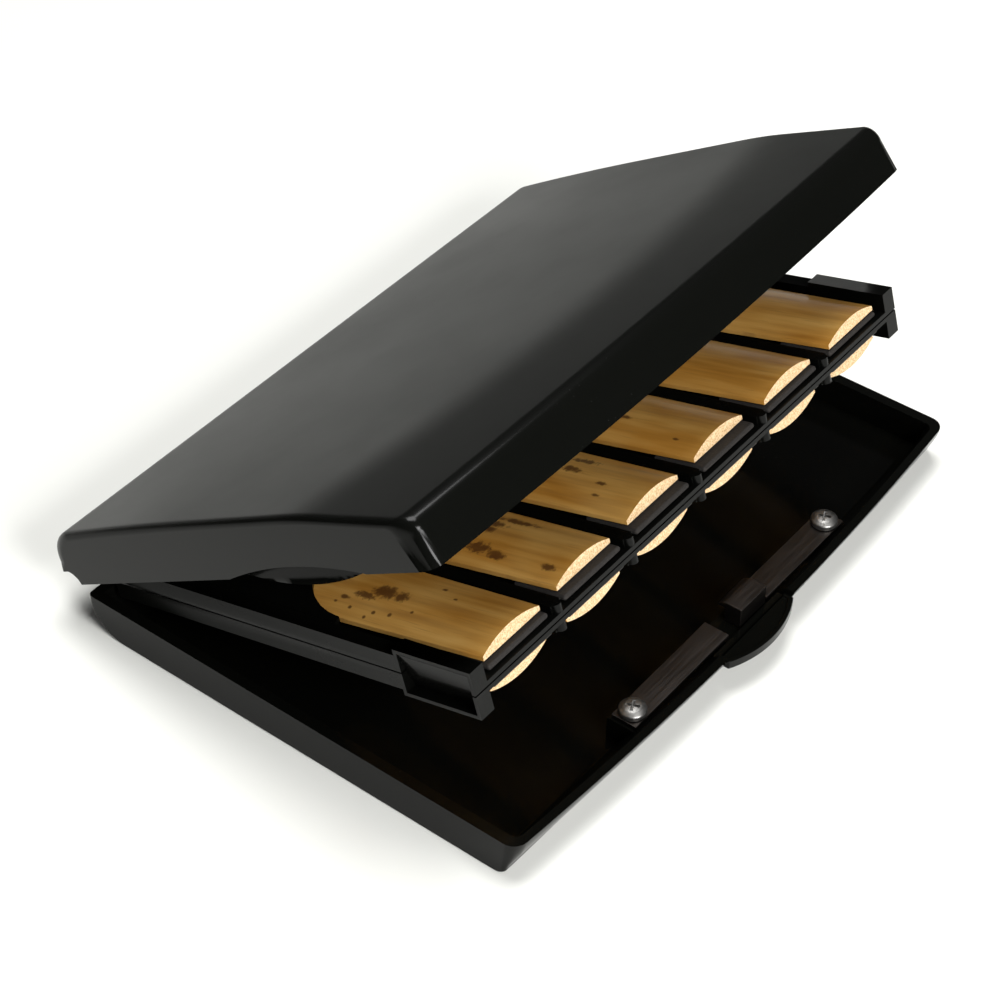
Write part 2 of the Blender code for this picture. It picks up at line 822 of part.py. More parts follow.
def build_latch_strips(material):
    inner = -half_depth - front_bow + strip_inner_from_front
    spans = (("latch_leaf_near", -strip_half_span, -near_strip_end), ("latch_leaf_far", far_strip_start, strip_half_span))
    for side, (name, low, high) in zip((-1, 1), spans):
        bm = bmesh.new()
        add_box(bm, (low, inner - strip_width, strip_z), (high, inner, strip_z + strip_thickness))
        leaf = mesh_object(name, bm, parts, material)
        x = side * (strip_half_span - screw_inset)
        bm = bmesh.new()
        add_rod(bm, (x, strip_centre_y(), strip_z - cut_overrun), (x, strip_centre_y(), strip_z + cut_overrun),
                screw_shank_radius + seat_gap)
        boolean(leaf, "DIFFERENCE", tool_object(name + "_hole", bm))


def build_screws(material):
    for side, name in ((-1, "latch_screw_near"), (1, "latch_screw_far")):
        x = side * (strip_half_span - screw_inset)
        seat = strip_z + strip_thickness + seat_gap
        profile = [(0, seat + screw_head_height), (screw_head_radius * 0.7, seat + screw_head_height - screw_dome / 3),
                   (screw_head_radius, seat + screw_head_height - screw_dome * 2), (screw_head_radius, seat),
                   (screw_shank_radius, seat), (screw_shank_radius, strip_z - screw_bite), (0, strip_z - screw_bite)]
        mesh = bpy.data.meshes.new(name)
        points = [(radius, 0, z) for radius, z in profile]
        mesh.from_pydata(points, [(i, i + 1) for i in range(len(points) - 1)], [])
        mesh.materials.append(material)
        screw = bpy.data.objects.new(name, mesh)
        parts.objects.link(screw)
        screw.location = (x, strip_centre_y(), 0)
        turn = screw.modifiers.new("turn", "SCREW")
        turn.axis = "Z"
        turn.steps = round_sides
        turn.render_steps = round_sides
        turn.use_merge_vertices = True
        turn.merge_threshold = 0.00001


def tab_outline():
    """Half-moon plan (x, y) of the thumb tab, from its straight inner side round its bowed front."""
    half = cutout_half_width - running_gap
    wall = -half_depth - front_bow
    radius = (half ** 2 + tab_bulge ** 2) / (2 * tab_bulge)
    reach = math.degrees(math.asin(half / radius))
    centre = wall - tab_bulge + radius
    steps = 14
    curve = []
    for i in range(steps + 1):
        angle = math.radians(-90 - reach + 2 * reach * i / steps)
        curve.append((radius * math.cos(angle), centre + radius * math.sin(angle)))
    inner = -half_depth - front_bow + front_wall + running_gap
    return [(half, inner), (-half, inner)] + curve


def build_latch_lever(pivot, material, hook_material):
    inner_wall = -half_depth - front_bow + front_wall
    half = cutout_half_width - running_gap
    bm = bmesh.new()
    add_prism(bm, tab_outline(), tab_top - tab_thickness, tab_top, axis="Z")
    tab = mesh_object("latch_thumb_tab", bm, parts, material)

    shrink = [(x * (1 - tab_rim_width / half), y + tab_rim_width) for x, y in tab_outline()]
    bm = bmesh.new()
    add_prism(bm, shrink, tab_top - tab_dish, tab_top + cut_overrun, axis="Z")
    dish = tool_object("tab_dish", bm)
    boolean(tab, "DIFFERENCE", dish)

    strip_inner = -half_depth - front_bow + strip_inner_from_front
    strip_outer = strip_inner - strip_width
    bm = bmesh.new()
    add_box(bm, (-half, inner_wall - running_gap, lever_bottom), (half, strip_outer - running_gap, tab_top - tab_dish - seat_gap))
    web = tool_object("lever_web", bm)
    boolean(tab, "UNION", web)
    bm = bmesh.new()
    add_box(bm, (-half, inner_wall + running_gap, lever_bottom), (half, strip_inner - seat_gap, lever_top))
    plate = tool_object("lever_plate", bm)
    boolean(tab, "UNION", plate)

    tip = hook_tip_y()
    neck = tip - hook_nose_depth
    outline = [(strip_outer, lever_top + seat_gap), (neck, lever_top + seat_gap), (neck, hook_nose_bottom()),
               (tip, hook_nose_bottom()), (tip, hook_top - hook_ramp_drop), (neck, hook_top), (strip_outer, hook_top)]
    bm = bmesh.new()
    add_prism(bm, outline, hook_start, hook_start + hook_width)
    hook = mesh_object("latch_hook", bm, parts, hook_material)

    for obj in (tab, dish, web, plate, hook):
        obj.data.transform(Matrix.Translation(-pivot.location))
        obj.parent = pivot


def empty(name, location, rotation_x=0.0, parent=None):
    obj = bpy.data.objects.new(name, None)
    bpy.context.scene.collection.objects.link(obj)
    obj.location = location
    obj.rotation_euler = (rotation_x, 0, 0)
    obj.parent = parent
    return obj


reset_scene()
parts = collection("reed_case")
tools = collection("cutters")

shell_black = finish_material("shell_black", (0.012, 0.012, 0.012), 0.22)
tray_black = finish_material("tray_black", (0.010, 0.010, 0.011), 0.35)
pad_grey = finish_material("pad_grey", (0.060, 0.054, 0.048), 0.90)
cane = finish_material("cane", (0.62, 0.40, 0.15), 0.45)
dark_steel = finish_material("dark_steel", (0.09, 0.085, 0.08), 0.40, 0.9)
bright_steel = finish_material("bright_steel", (0.75, 0.75, 0.74), 0.22, 1.0)

tray_leaf = empty("tray_axis", pin_place, -tray_opening)
lid_leaf = empty("lid_axis", (0, 0, 0), tray_opening - lid_opening, tray_leaf)
lever_axis = empty("latch_axis", (0, strip_centre_y(), strip_z + strip_thickness / 2))

build_base(shell_black)
build_pins(bright_steel)
build_half_tray("tray_upper_half", True, tray_leaf, tray_black)
build_half_tray("tray_lower_half", False, tray_leaf, tray_black)
for upper in (True, False):
    build_pads(upper, tray_leaf, pad_grey)
    build_reeds(upper, tray_leaf, cane)
build_lid(lid_leaf, shell_black, tray_black)
build_latch_strips(dark_steel)
build_screws(bright_steel)
build_latch_lever(lever_axis, shell_black, dark_steel)
bpy.context.view_layer.update()
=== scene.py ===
import json
import math

import bmesh
import bpy
from mathutils import Matrix, Vector


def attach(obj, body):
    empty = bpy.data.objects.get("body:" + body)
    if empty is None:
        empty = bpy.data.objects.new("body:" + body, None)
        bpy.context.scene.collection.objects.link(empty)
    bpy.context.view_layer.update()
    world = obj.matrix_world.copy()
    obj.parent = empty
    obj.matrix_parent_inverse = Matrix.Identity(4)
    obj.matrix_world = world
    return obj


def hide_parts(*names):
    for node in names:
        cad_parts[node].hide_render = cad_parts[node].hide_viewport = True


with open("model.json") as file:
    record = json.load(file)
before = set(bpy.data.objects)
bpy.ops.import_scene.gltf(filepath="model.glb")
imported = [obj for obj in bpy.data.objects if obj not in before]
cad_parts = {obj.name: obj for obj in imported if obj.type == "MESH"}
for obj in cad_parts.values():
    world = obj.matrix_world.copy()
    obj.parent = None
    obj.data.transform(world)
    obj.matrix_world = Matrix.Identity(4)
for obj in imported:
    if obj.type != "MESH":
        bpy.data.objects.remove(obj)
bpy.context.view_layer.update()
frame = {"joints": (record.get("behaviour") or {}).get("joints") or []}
print("frame loaded")

mm = 0.001  # shapes are written in millimetres, shut, around the hinge pin, then scaled and turned up
joints = {joint["name"]: joint for joint in frame["joints"]}
pin = Vector(joints["tray_hinge"]["pos_m"])
pinY, pinZ = pin.y / mm, pin.z / mm
trayAngle = math.radians(-joints["tray_hinge"]["range_deg"][0])
lidAngle = trayAngle + math.radians(-joints["lid_hinge"]["range_deg"][0])


def leafTurn(angle):
    return Matrix.Translation(pin) @ Matrix.Rotation(-angle, 4, "X") @ Matrix.Translation(-pin)


shut = Matrix.Identity(4)
trayTurn = leafTurn(trayAngle)
lidTurn = leafTurn(lidAngle)

case = dict(length=133.0, depth=94.6, frontBow=2.7, cornerRadius=2.6, rearCornerRadius=1.0,
            endWall=2.1, frontWall=1.6)
shutGap, seatGap, runningGap = 0.3, 0.2, 0.3
halfLength, halfDepth = case["length"] / 2, case["depth"] / 2
roomHalf, roomCorner = halfLength - case["endWall"], case["cornerRadius"] - case["endWall"] / 2
clear = 2  # how far a cutting tool reaches past what it cuts
midway = 99  # an inset that lies beyond every rounded corner


def addLoft(bm, loops):
    rings = [[bm.verts.new(point) for point in loop] for loop in loops]
    count = len(rings[0])
    for here, there in zip(rings, rings[1:]):
        for i in range(count):
            bm.faces.new((here[i], here[(i + 1) % count], there[(i + 1) % count], there[i]))
    bm.faces.new(rings[0])
    bm.faces.new(rings[-1][::-1])


def addBox(bm, low, high):
    low, high = Vector(low), Vector(high)
    made = bmesh.ops.create_cube(bm, size=1)["verts"]
    bmesh.ops.scale(bm, vec=high - low, verts=made)
    bmesh.ops.translate(bm, vec=(low + high) / 2, verts=made)


def addRod(bm, start, end, radius, sides=40):
    start, end = Vector(start), Vector(end)
    turn = (end - start).to_track_quat("Z", "Y").to_matrix().to_4x4()
    bmesh.ops.create_cone(bm, cap_ends=True, segments=sides, radius1=radius, radius2=radius,
                          depth=(end - start).length, matrix=Matrix.Translation((start + end) / 2) @ turn)


def addPrism(bm, outline, start, end, axis="X"):
    turned = dict(X=lambda a, b, c: (c, a, b), Y=lambda a, b, c: (a, c, b), Z=lambda a, b, c: (a, b, c))[axis]
    addLoft(bm, [[turned(a, b, c) for a, b in outline] for c in (start, end)])


def solidFrom(name, bm):
    bmesh.ops.recalc_face_normals(bm, faces=bm.faces)
    mesh = bpy.data.meshes.new(name)
    bm.to_mesh(mesh)
    bm.free()
    obj = bpy.data.objects.new(name, mesh)
    bpy.context.scene.collection.objects.link(obj)
    return obj


def bakeModifiers(obj):
    graph = bpy.context.evaluated_depsgraph_get()
    mesh = bpy.data.meshes.new_from_object(obj.evaluated_get(graph))
    obj.modifiers.clear()
    obj.data = mesh
    return obj


def combine(obj, adds=(), cuts=()):
    tools = []
    for operation, shapes in (("UNION", adds), ("DIFFERENCE", cuts)):
        for bm in shapes:
            tools.append(solidFrom("tool", bm))
            step = obj.modifiers.new("step", "BOOLEAN")
            step.operation = operation
            step.object = tools[-1]
            step.solver = "EXACT"
    bakeModifiers(obj)
    for tool in tools:
        bpy.data.objects.remove(tool)
    return obj


def soften(obj, width, segments=2, angle=34):  # small rounded edges, after points that nearly meet are joined
    weld = 0.004
    bm = bmesh.new()
    bm.from_mesh(obj.data)
    bmesh.ops.remove_doubles(bm, verts=bm.verts, dist=weld)
    bmesh.ops.dissolve_degenerate(bm, edges=bm.edges, dist=weld)
    bm.to_mesh(obj.data)
    bm.free()
    bevel = obj.modifiers.new("bevel", "BEVEL")
    bevel.width = width
    bevel.segments = segments
    bevel.limit_method = "ANGLE"
    bevel.angle_limit = math.radians(angle)
    bevel.miter_outer = "MITER_ARC"
    bakeModifiers(obj)
    return evenNormals(obj, angle)


def evenNormals(obj, angle=34):  # smooth shading that keeps broad faces even
    obj.data.shade_smooth()
    obj.data.set_sharp_from_angle(angle=math.radians(angle))
    weighted = obj.modifiers.new("weighted", "WEIGHTED_NORMAL")
    weighted.keep_sharp = True
    weighted.weight = 80
    return bakeModifiers(obj)


def setNormals(obj, choose, crisp=False):  # choose gives a corner its new normal, or nothing to leave it
    normals = [tuple(corner.vector) for corner in obj.data.corner_normals]
    for face in obj.data.polygons:
        for corner in face.loop_indices:
            loop = obj.data.loops[corner]
            normal = choose(face, obj.data.vertices[loop.vertex_index].co)
            if normal:
                normals[corner] = tuple(normal)
                edge = obj.data.edges[loop.edge_index]
                edge.use_edge_sharp = crisp or edge.use_edge_sharp
    obj.data.normals_split_custom_set(normals)


evenness = dict(endFacing=0.9999, endReach=0.01, frontFacing=0.97, frontBand=1)


def endNormal(face, point):  # a large end face keeps one normal, so that no triangle shows in its gloss
    if abs(face.normal.x) > evenness["endFacing"] and abs(face.center.x) > halfLength - evenness["endReach"]:
        return math.copysign(1, face.center.x), 0, 0


def frontNormal(face, point):  # along its lower edge the front wall takes its normals from its bow
    x, y, z = point
    if face.normal.y > -evenness["frontFacing"] or z >= rimZ + evenness["frontBand"]:
        return None
    if y < 0 and abs(x) < halfLength - case["cornerRadius"]:
        slope = 2 * case["frontBow"] * x / halfLength ** 2
        return Vector((slope, face.normal.y, face.normal.z)).normalized()


def place(obj, body, turn, material, nodes=()):
    obj.data.transform(turn @ Matrix.Scale(mm, 4))
    if material:
        obj.data.materials.clear()
        obj.data.materials.append(material)
    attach(obj, body)
    if nodes:
        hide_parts(*nodes)


def arc(centre, radius, start, end, steps):
    turns = [math.radians(start + (end - start) * i / steps) for i in range(steps + 1)]
    return [(centre[0] + radius * math.cos(t), centre[1] + radius * math.sin(t)) for t in turns]


def mirrored(side, a, b):
    return sorted((side * a, side * b))


def cornerPull(inset, radius):
    if inset >= radius:
        return 0.0
    return radius - math.sqrt(max(0.0, radius ** 2 - (radius - inset) ** 2))


def stations(reach, radius, cornerSteps=9, middleSteps=64):
    corners = [reach - radius * (1 - math.cos(math.pi / 2 * i / cornerSteps)) for i in range(cornerSteps)]
    inner = reach - radius
    middle = [inner - 2 * inner * i / middleSteps for i in range(middleSteps + 1)]
    return [-x for x in corners] + [-x for x in middle] + list(reversed(corners))


shellStations = stations(halfLength, case["cornerRadius"])
roomStations = stations(roomHalf, roomCorner)


def bowShare(x):
    return 1 - (x / halfLength) ** 2


class Wire:  # adds nodes to a tree: a value in a call is a number, a colour or another node's output
    def __init__(self, tree):
        self.tree = tree

    def feed(self, socket, value):
        if isinstance(value, bpy.types.NodeSocket):
            self.tree.links.new(value, socket)
        else:
            socket.default_value = value

    def fill(self, node, **sockets):
        for label, value in sockets.items():
            self.feed(node.inputs[label.replace("_", " ")], value)
        return node

    def node(self, kind, **sockets):
        return self.fill(self.tree.nodes.new(kind), **sockets)

    def group(self, tree, **sockets):
        made = self.tree.nodes.new("ShaderNodeGroup")
        made.node_tree = tree
        return self.fill(made, **sockets).outputs

    def maths(self, operation, a, b=0.0):
        made = self.tree.nodes.new("ShaderNodeMath")
        made.operation = operation
        self.feed(made.inputs[0], a)
        self.feed(made.inputs[1], b)
        return made.outputs[0]

    def blend(self, factor, a, b):
        made = self.tree.nodes.new("ShaderNodeMix")
        made.data_type = "RGBA"
        self.feed(made.inputs[0], factor)
        for socket, colour in zip(made.inputs[6:8], (a, b)):
            self.feed(socket, (*colour, 1) if isinstance(colour, tuple) else colour)
        return made.outputs[2]

    def ramp(self, factor, *stops):
        made = self.tree.nodes.new("ShaderNodeValToRGB")
        self.feed(made.inputs[0], factor)
        row = made.color_ramp.elements
        while len(row) < len(stops):
            row.new(0.5)
        for element, (position, colour) in zip(row, stops):
            element.position = position
            element.color = (*colour, 1)
        return made.outputs[0]

    def noise(self, vector, scale, detail=2.0, roughness=0.5):
        made = self.node("ShaderNodeTexNoise", Vector=vector, Scale=scale, Detail=detail, Roughness=roughness)
        return made.outputs[0]

    def cells(self, vector, scale):
        return self.node("ShaderNodeTexVoronoi", Vector=vector, Scale=scale).outputs["Distance"]

    def spread(self, value, low, high, outLow=0.0, outHigh=1.0):
        made = self.tree.nodes.new("ShaderNodeMapRange")
        for socket, item in zip(made.inputs, (value, low, high, outLow, outHigh)):
            self.feed(socket, item)
        return made.outputs[0]

    def stretched(self, vector, scale):
        return self.node("ShaderNodeMapping", Vector=vector, Scale=scale).outputs[0]

    def bump(self, height, strength, distance):
        return self.node("ShaderNodeBump", Height=height, Strength=strength, Distance=distance).outputs[0]

    def coordinates(self, kind):
        return self.node("ShaderNodeTexCoord").outputs[kind]


def newMaterial(name):
    material = bpy.data.materials.new(name)
    material.use_nodes = True
    tree = material.node_tree
    return material, Wire(tree), tree.nodes["Principled BSDF"]


def shaderGroup(name, inputs, outputs):  # its inputs are numbers or vectors, and its outputs are numbers
    group = bpy.data.node_groups.new(name, "ShaderNodeTree")
    for label, value in inputs.items():
        kind = "NodeSocketVector" if isinstance(value, tuple) else "NodeSocketFloat"
        group.interface.new_socket(label, in_out="INPUT", socket_type=kind).default_value = value
    for label in outputs:
        group.interface.new_socket(label, in_out="OUTPUT", socket_type="NodeSocketFloat")
    return Wire(group), group.nodes.new("NodeGroupInput").outputs, group.nodes.new("NodeGroupOutput")


def buildHandling():  # smudges and dust that moulded plastic and metal pick up in use
    scales = dict(smudge=30.0, dust=900.0)
    wire, source, sink = shaderGroup("handling", dict(Vector=(0, 0, 0)), ("Smudge", "Dust"))
    smudge = wire.noise(source["Vector"], scales["smudge"], 4.0, 0.6)
    sparse = wire.noise(source["Vector"], scales["smudge"])
    dust = wire.spread(wire.cells(source["Vector"], scales["dust"]), 0.10, 0.04)
    wire.fill(sink, Smudge=wire.spread(smudge, 0.35, 0.70),
              Dust=wire.maths("MULTIPLY", dust, wire.spread(sparse, 0.56, 0.66)))
    return wire.tree


handling = buildHandling()
plastic = dict(ior=1.22, dustPaler=0.03, dustShare=0.35, dustHaze=0.2, grainDepth=0.00008,
               wornFrom=0.75, wornFull=0.97)


def mouldedPlastic(name, colour, roughness, smudged, grain, grainScale, worn=None):
    material, wire, shader = newMaterial(name)
    vector = wire.coordinates("Object")
    marks = wire.group(handling, Vector=vector)
    dusty = tuple(c + plastic["dustPaler"] for c in colour)
    haze = wire.maths("ADD", wire.maths("MULTIPLY", marks["Smudge"], smudged),
                      wire.maths("MULTIPLY", marks["Dust"], plastic["dustHaze"]))
    if worn:  # faces that look this way are rubbed duller
        direction, extra = worn
        facing = wire.tree.nodes.new("ShaderNodeVectorMath")
        facing.operation = "DOT_PRODUCT"
        wire.feed(facing.inputs[0], wire.coordinates("Normal"))
        facing.inputs[1].default_value = direction
        rubbed = wire.spread(facing.outputs["Value"], plastic["wornFrom"], plastic["wornFull"], 0.0, extra)
        haze = wire.maths("ADD", haze, rubbed)
    dust = wire.maths("MULTIPLY", marks["Dust"], plastic["dustShare"])
    wire.fill(shader, Base_Color=wire.blend(dust, colour, dusty), IOR=plastic["ior"],
              Roughness=wire.maths("ADD", haze, roughness),
              Normal=wire.bump(wire.noise(vector, grainScale), grain, plastic["grainDepth"]))
    return material


lidUp = tuple(lidTurn.to_3x3() @ Vector((0, 0, 1)))
lidPlastic = mouldedPlastic("glossBlackLid", (0.0026, 0.0028, 0.0023), 0.15, 0.05, 0.04, 420, (lidUp, 0.17))
basePlastic = mouldedPlastic("glossBlackBase", (0.0018, 0.0019, 0.0015), 0.14, 0.05, 0.04, 420)
trayPlastic = mouldedPlastic("satinBlackTray", (0.0016, 0.0017, 0.0014), 0.24, 0.08, 0.10, 900)


rest = dict(ramp=((0.3, (0.008, 0.0065, 0.0055)), (0.75, (0.022, 0.018, 0.015))), grainScale=2600,
            grain=0.5, grainDepth=0.00008, roughness=0.85)
steel = dict(smudged=0.5, smudgeDarker=0.7, streaks=(40.0, 900.0, 900.0), streakScale=3.0, smoother=0.05,
             rougher=0.12, streakDepth=0.00003)


def rubberMaterial():
    material, wire, shader = newMaterial("greyRubber")
    grain = wire.noise(wire.coordinates("Object"), rest["grainScale"], 3.0)
    wire.fill(shader, Base_Color=wire.ramp(grain, *rest["ramp"]), Roughness=rest["roughness"],
              Normal=wire.bump(grain, rest["grain"], rest["grainDepth"]))
    return material


def steelMaterial(name, colour, roughness, brushed):
    material, wire, shader = newMaterial(name)
    vector = wire.coordinates("Object")
    smudge = wire.maths("MULTIPLY", wire.group(handling, Vector=vector)["Smudge"], steel["smudged"])
    darker = tuple(c * steel["smudgeDarker"] for c in colour)
    streaks = wire.noise(wire.stretched(vector, steel["streaks"]), steel["streakScale"])
    ends = roughness - steel["smoother"], roughness + steel["rougher"]
    wire.fill(shader, Base_Color=wire.blend(smudge, colour, darker), Metallic=1.0,
              Roughness=wire.spread(streaks, 0.3, 0.7, *ends),
              Normal=wire.bump(streaks, brushed, steel["streakDepth"]))
    return material


rubber = rubberMaterial()
springSteel = steelMaterial("darkSpringSteel", (0.050, 0.044, 0.040), 0.34, 0.25)
platedSteel = steelMaterial("brightPlatedSteel", (0.26, 0.255, 0.245), 0.38, 0.10)


def buildFibre():  # long fibres of cane along v, on a map in millimetres
    inputs = dict(Vector=(0, 0, 0), Fineness=3.0)
    wire, source, sink = shaderGroup("caneFibre", inputs, ("Broad", "Fine", "Drift"))
    broad, fine, drift = (wire.stretched(source["Vector"], scale)
                          for scale in ((0.55, 0.035, 1.0), (1.0, 0.03, 1.0), (0.10, 0.045, 1.0)))
    wire.fill(sink, Broad=wire.noise(broad, 1.0, 3.0), Drift=wire.noise(drift, 1.0),
              Fine=wire.noise(fine, source["Fineness"], 3.0, 0.65))
    return wire.tree


def buildStain():  # one brown blotch: an ellipse in millimetres with a ragged edge
    inputs = dict(Vector=(0, 0, 0), Across=0.0, Along=0.0, Width=3.0, Length=6.0, Ragged=0.6)
    wire, source, sink = shaderGroup("caneStain", inputs, ("Mask",))
    where = wire.node("ShaderNodeSeparateXYZ", Vector=source["Vector"]).outputs
    squares = []
    for axis, centre, half in (("X", "Across", "Width"), ("Y", "Along", "Length")):
        share = wire.maths("DIVIDE", wire.maths("SUBTRACT", where[axis], source[centre]), source[half])
        squares.append(wire.maths("MULTIPLY", share, share))
    torn = wire.maths("MULTIPLY", wire.maths("SUBTRACT", wire.noise(source["Vector"], 0.9, 5.0, 0.7), 0.5),
                      wire.maths("MULTIPLY", source["Ragged"], 4.0))
    reach = wire.maths("ADD", wire.maths("SQRT", wire.maths("ADD", *squares)), torn)
    wire.fill(sink, Mask=wire.spread(reach, 1.0, 0.55))
    return wire.tree


fibreGroup = buildFibre()
stainGroup = buildStain()

# Each blotch: reed (1 is nearest), place across and along from the butt's middle, half width and half length,
# with those four in mm, and raggedness
stains = [(1, -0.8, 25.8, 1.8, 3.2, 0.55), (1, -0.9, 22.2, 1.4, 1.5, 0.55), (1, -2.6, 29.0, 0.9, 2.8, 0.65),
          (1, -4.0, 32.4, 0.5, 1.2, 0.4), (1, -5.2, 33.6, 0.35, 0.45, 0.3), (1, -5.6, 30.0, 0.4, 0.5, 0.3),
          (1, -6.6, 26.1, 0.4, 0.4, 0.3), (1, -5.4, 24.9, 0.4, 0.5, 0.3), (1, -5.0, 21.6, 0.5, 0.5, 0.3),
          (1, -3.4, 18.0, 0.4, 0.4, 0.3), (1, 3.8, 16.8, 0.5, 0.7, 0.4), (1, 2.0, 13.0, 0.35, 0.5, 0.3),
          (2, -4.0, 19.0, 1.3, 3.4, 0.7), (2, -4.6, 14.6, 1.1, 2.2, 0.6), (2, 2.4, 20.5, 1.1, 3.0, 0.7),
          (2, 4.6, 17.0, 0.9, 4.8, 0.8), (2, 0.6, 20.0, 0.9, 1.6, 0.6), (2, -4.4, 3.6, 0.8, 1.8, 0.5),
          (3, 4.2, 17.0, 0.9, 3.5, 0.8), (3, 0.8, 17.7, 1.0, 2.4, 0.7), (3, -1.2, 9.6, 0.5, 1.2, 0.5),
          (3, -4.0, 9.0, 0.4, 1.0, 0.5), (4, -1.8, 18.3, 0.5, 1.4, 0.4), (4, -4.4, 5.7, 0.3, 0.8, 0.4)]
reedMap = dict(pitch=40.0, endGap=20.0)  # reeds lie side by side on their map, so that no two share a pattern
cane = dict(barkRamp=((0.30, (0.36, 0.145, 0.020)), (0.48, (0.58, 0.275, 0.045)), (0.70, (0.76, 0.43, 0.11))),
            paleRamp=((0.40, (0.52, 0.225, 0.034)), (0.62, (0.80, 0.48, 0.145))), paleShare=0.42,
            fibreColour=(0.30, 0.15, 0.045), stainColour=(0.075, 0.022, 0.007), stainShare=0.82,
            cutRamp=((0.10, (0.34, 0.19, 0.075)), (0.45, (0.66, 0.45, 0.24)), (0.80, (0.76, 0.57, 0.35))),
            cutFibreColour=(0.62, 0.42, 0.20), poreScale=3.2, reliefDepth=0.00006)


def stainMask(wire, vector):
    mask = 0.0
    for reed, across, along, width, length, ragged in stains:
        spot = wire.group(stainGroup, Vector=vector, Across=reedMap["pitch"] * reed + across, Along=along,
                          Width=width, Length=length, Ragged=ragged)
        mask = wire.maths("MAXIMUM", mask, spot["Mask"])
    return mask


def reedMaterial(name, barked):
    material, wire, shader = newMaterial(name)
    vector = wire.node("ShaderNodeUVMap").outputs[0]
    fibre = wire.group(fibreGroup, Vector=vector, Fineness=3.0 if barked else 6.0)
    if barked:
        height, strength = fibre["Fine"], 0.35
        colour = wire.blend(cane["paleShare"], wire.ramp(fibre["Broad"], *cane["barkRamp"]),
                            wire.ramp(fibre["Drift"], *cane["paleRamp"]))
        colour = wire.blend(wire.spread(height, 0.58, 0.74, 0.0, 0.55), colour, cane["fibreColour"])
        stained = wire.maths("MULTIPLY", stainMask(wire, vector), cane["stainShare"])
        colour = wire.blend(stained, colour, cane["stainColour"])
        wire.fill(shader, Roughness=wire.spread(fibre["Broad"], 0.3, 0.7, 0.30, 0.42),
                  Coat_Weight=0.25, Coat_Roughness=0.25)
    else:
        height, strength = wire.cells(vector, cane["poreScale"]), 0.5
        colour = wire.blend(wire.spread(fibre["Fine"], 0.45, 0.75, 0.0, 0.45),
                            wire.ramp(height, *cane["cutRamp"]), cane["cutFibreColour"])
        wire.fill(shader, Roughness=0.72)
    wire.fill(shader, Base_Color=colour, Normal=wire.bump(height, strength, cane["reliefDepth"]))
    return material


caneBark = reedMaterial("caneBark", True)
caneCut = reedMaterial("caneCut", False)
print("materials built")


def buildRowTree():  # copies of one small piece at even steps along a line, as one mesh
    tree = bpy.data.node_groups.new("rowOfPieces", "GeometryNodeTree")
    sockets = tree.interface
    for label, kind in (("Geometry", "Geometry"), ("Piece", "Object"), ("Count", "Int"), ("Start", "Vector"),
                        ("Step", "Vector"), ("Finish", "Material")):
        sockets.new_socket(label, in_out="INPUT", socket_type=f"NodeSocket{kind}")
    sockets.new_socket("Geometry", in_out="OUTPUT", socket_type="NodeSocketGeometry")
    source, sink = tree.nodes.new("NodeGroupInput"), tree.nodes.new("NodeGroupOutput")
    line, piece, copies, real, finish = (
        tree.nodes.new(f"GeometryNode{kind}")
        for kind in ("MeshLine", "ObjectInfo", "InstanceOnPoints", "RealizeInstances", "SetMaterial"))
    for giver, output, taker, label in (
            (source, "Count", line, "Count"), (source, "Start", line, "Start Location"),
            (source, "Step", line, "Offset"), (source, "Piece", piece, "Object"),
            (line, "Mesh", copies, "Points"), (piece, "Geometry", copies, "Instance"),
            (copies, "Instances", real, "Geometry"), (real, "Geometry", finish, "Geometry"),
            (source, "Finish", finish, "Material"), (finish, "Geometry", sink, "Geometry")):
        tree.links.new(giver.outputs[output], taker.inputs[label])
    return tree


rowTree = buildRowTree()


def rowOf(name, piece, count, start, step, material):
    carrier = solidFrom(name, bmesh.new())
    grow = carrier.modifiers.new("row", "NODES")
    grow.node_group = rowTree
    values = dict(Piece=piece, Count=count, Start=start, Step=step, Finish=material)
    for item in rowTree.interface.items_tree:
        if item.in_out == "INPUT" and item.name in values:
            grow[item.identifier] = values[item.name]
    bakeModifiers(carrier)
    bpy.data.objects.remove(piece)
    return carrier


base = dict(height=7.7, floor=1.5, rearWall=2.0, rearRound=7.0, frontTuck=2.3, frontSteps=10, frontCurl=1.4,
            soleBow=0.9, soleRound=1.2, soleCorner=0.8, roomKnee=0.45, roomSwell=1.4, roomRound=1.6,
            cutoutHalf=10.4, cutoutBottom=3.5, bossMargin=0.5, edge=0.22)
rimZ = base["height"] + shutGap
midZ = base["height"] + shutGap / 2
frontY = -halfDepth - case["frontBow"]
latch = dict(stripZ=6.3, thickness=0.6, width=5.1, fromFront=8.8, halfSpan=32.4, nearEnd=4.6, farStart=7.2,
             screwInset=2.6, headRadius=2.5, headHeight=1.5, shank=1.25, bite=3.0,
             tabBulge=2.5, tabTop=6.9, tabThickness=1.8, tabRim=0.7, tabDish=0.4, leverBottom=4.6,
             leverTop=5.6, hookStart=-1.2, hookWidth=8.0, hookTop=10.0, noseDepth=1.6, noseHeight=1.4,
             rampDrop=1.0, catchWidth=7.0, catchThickness=1.2, catchOverlap=0.5, ledge=1.0, gusset=3,
             stripEdge=0.12, tabEdge=0.16, hookEdge=0.18, catchEdge=0.15)
stripInner = frontY + latch["fromFront"]
stripOuter = stripInner - latch["width"]
stripY = stripInner - latch["width"] / 2
screwX, screwHole = latch["halfSpan"] - latch["screwInset"], latch["shank"] + seatGap
hinge = dict(inset=9.5, barrel=2.2, sideGap=0.3, outer=6.0, tray=5.0, lid=6.0, inner=6.0, bore=0.85,
             pin=0.75, pinEdge=0.15, notch=3.0, notchSweep=70, armInset=0.2, trayArm=1.3, slotGap=0.25,
             baseArmDrop=1.6, lidArmFront=1.7, lidArmBack=0.6)
trayArmLow = midZ - shutGap / 2 - hinge["trayArm"]


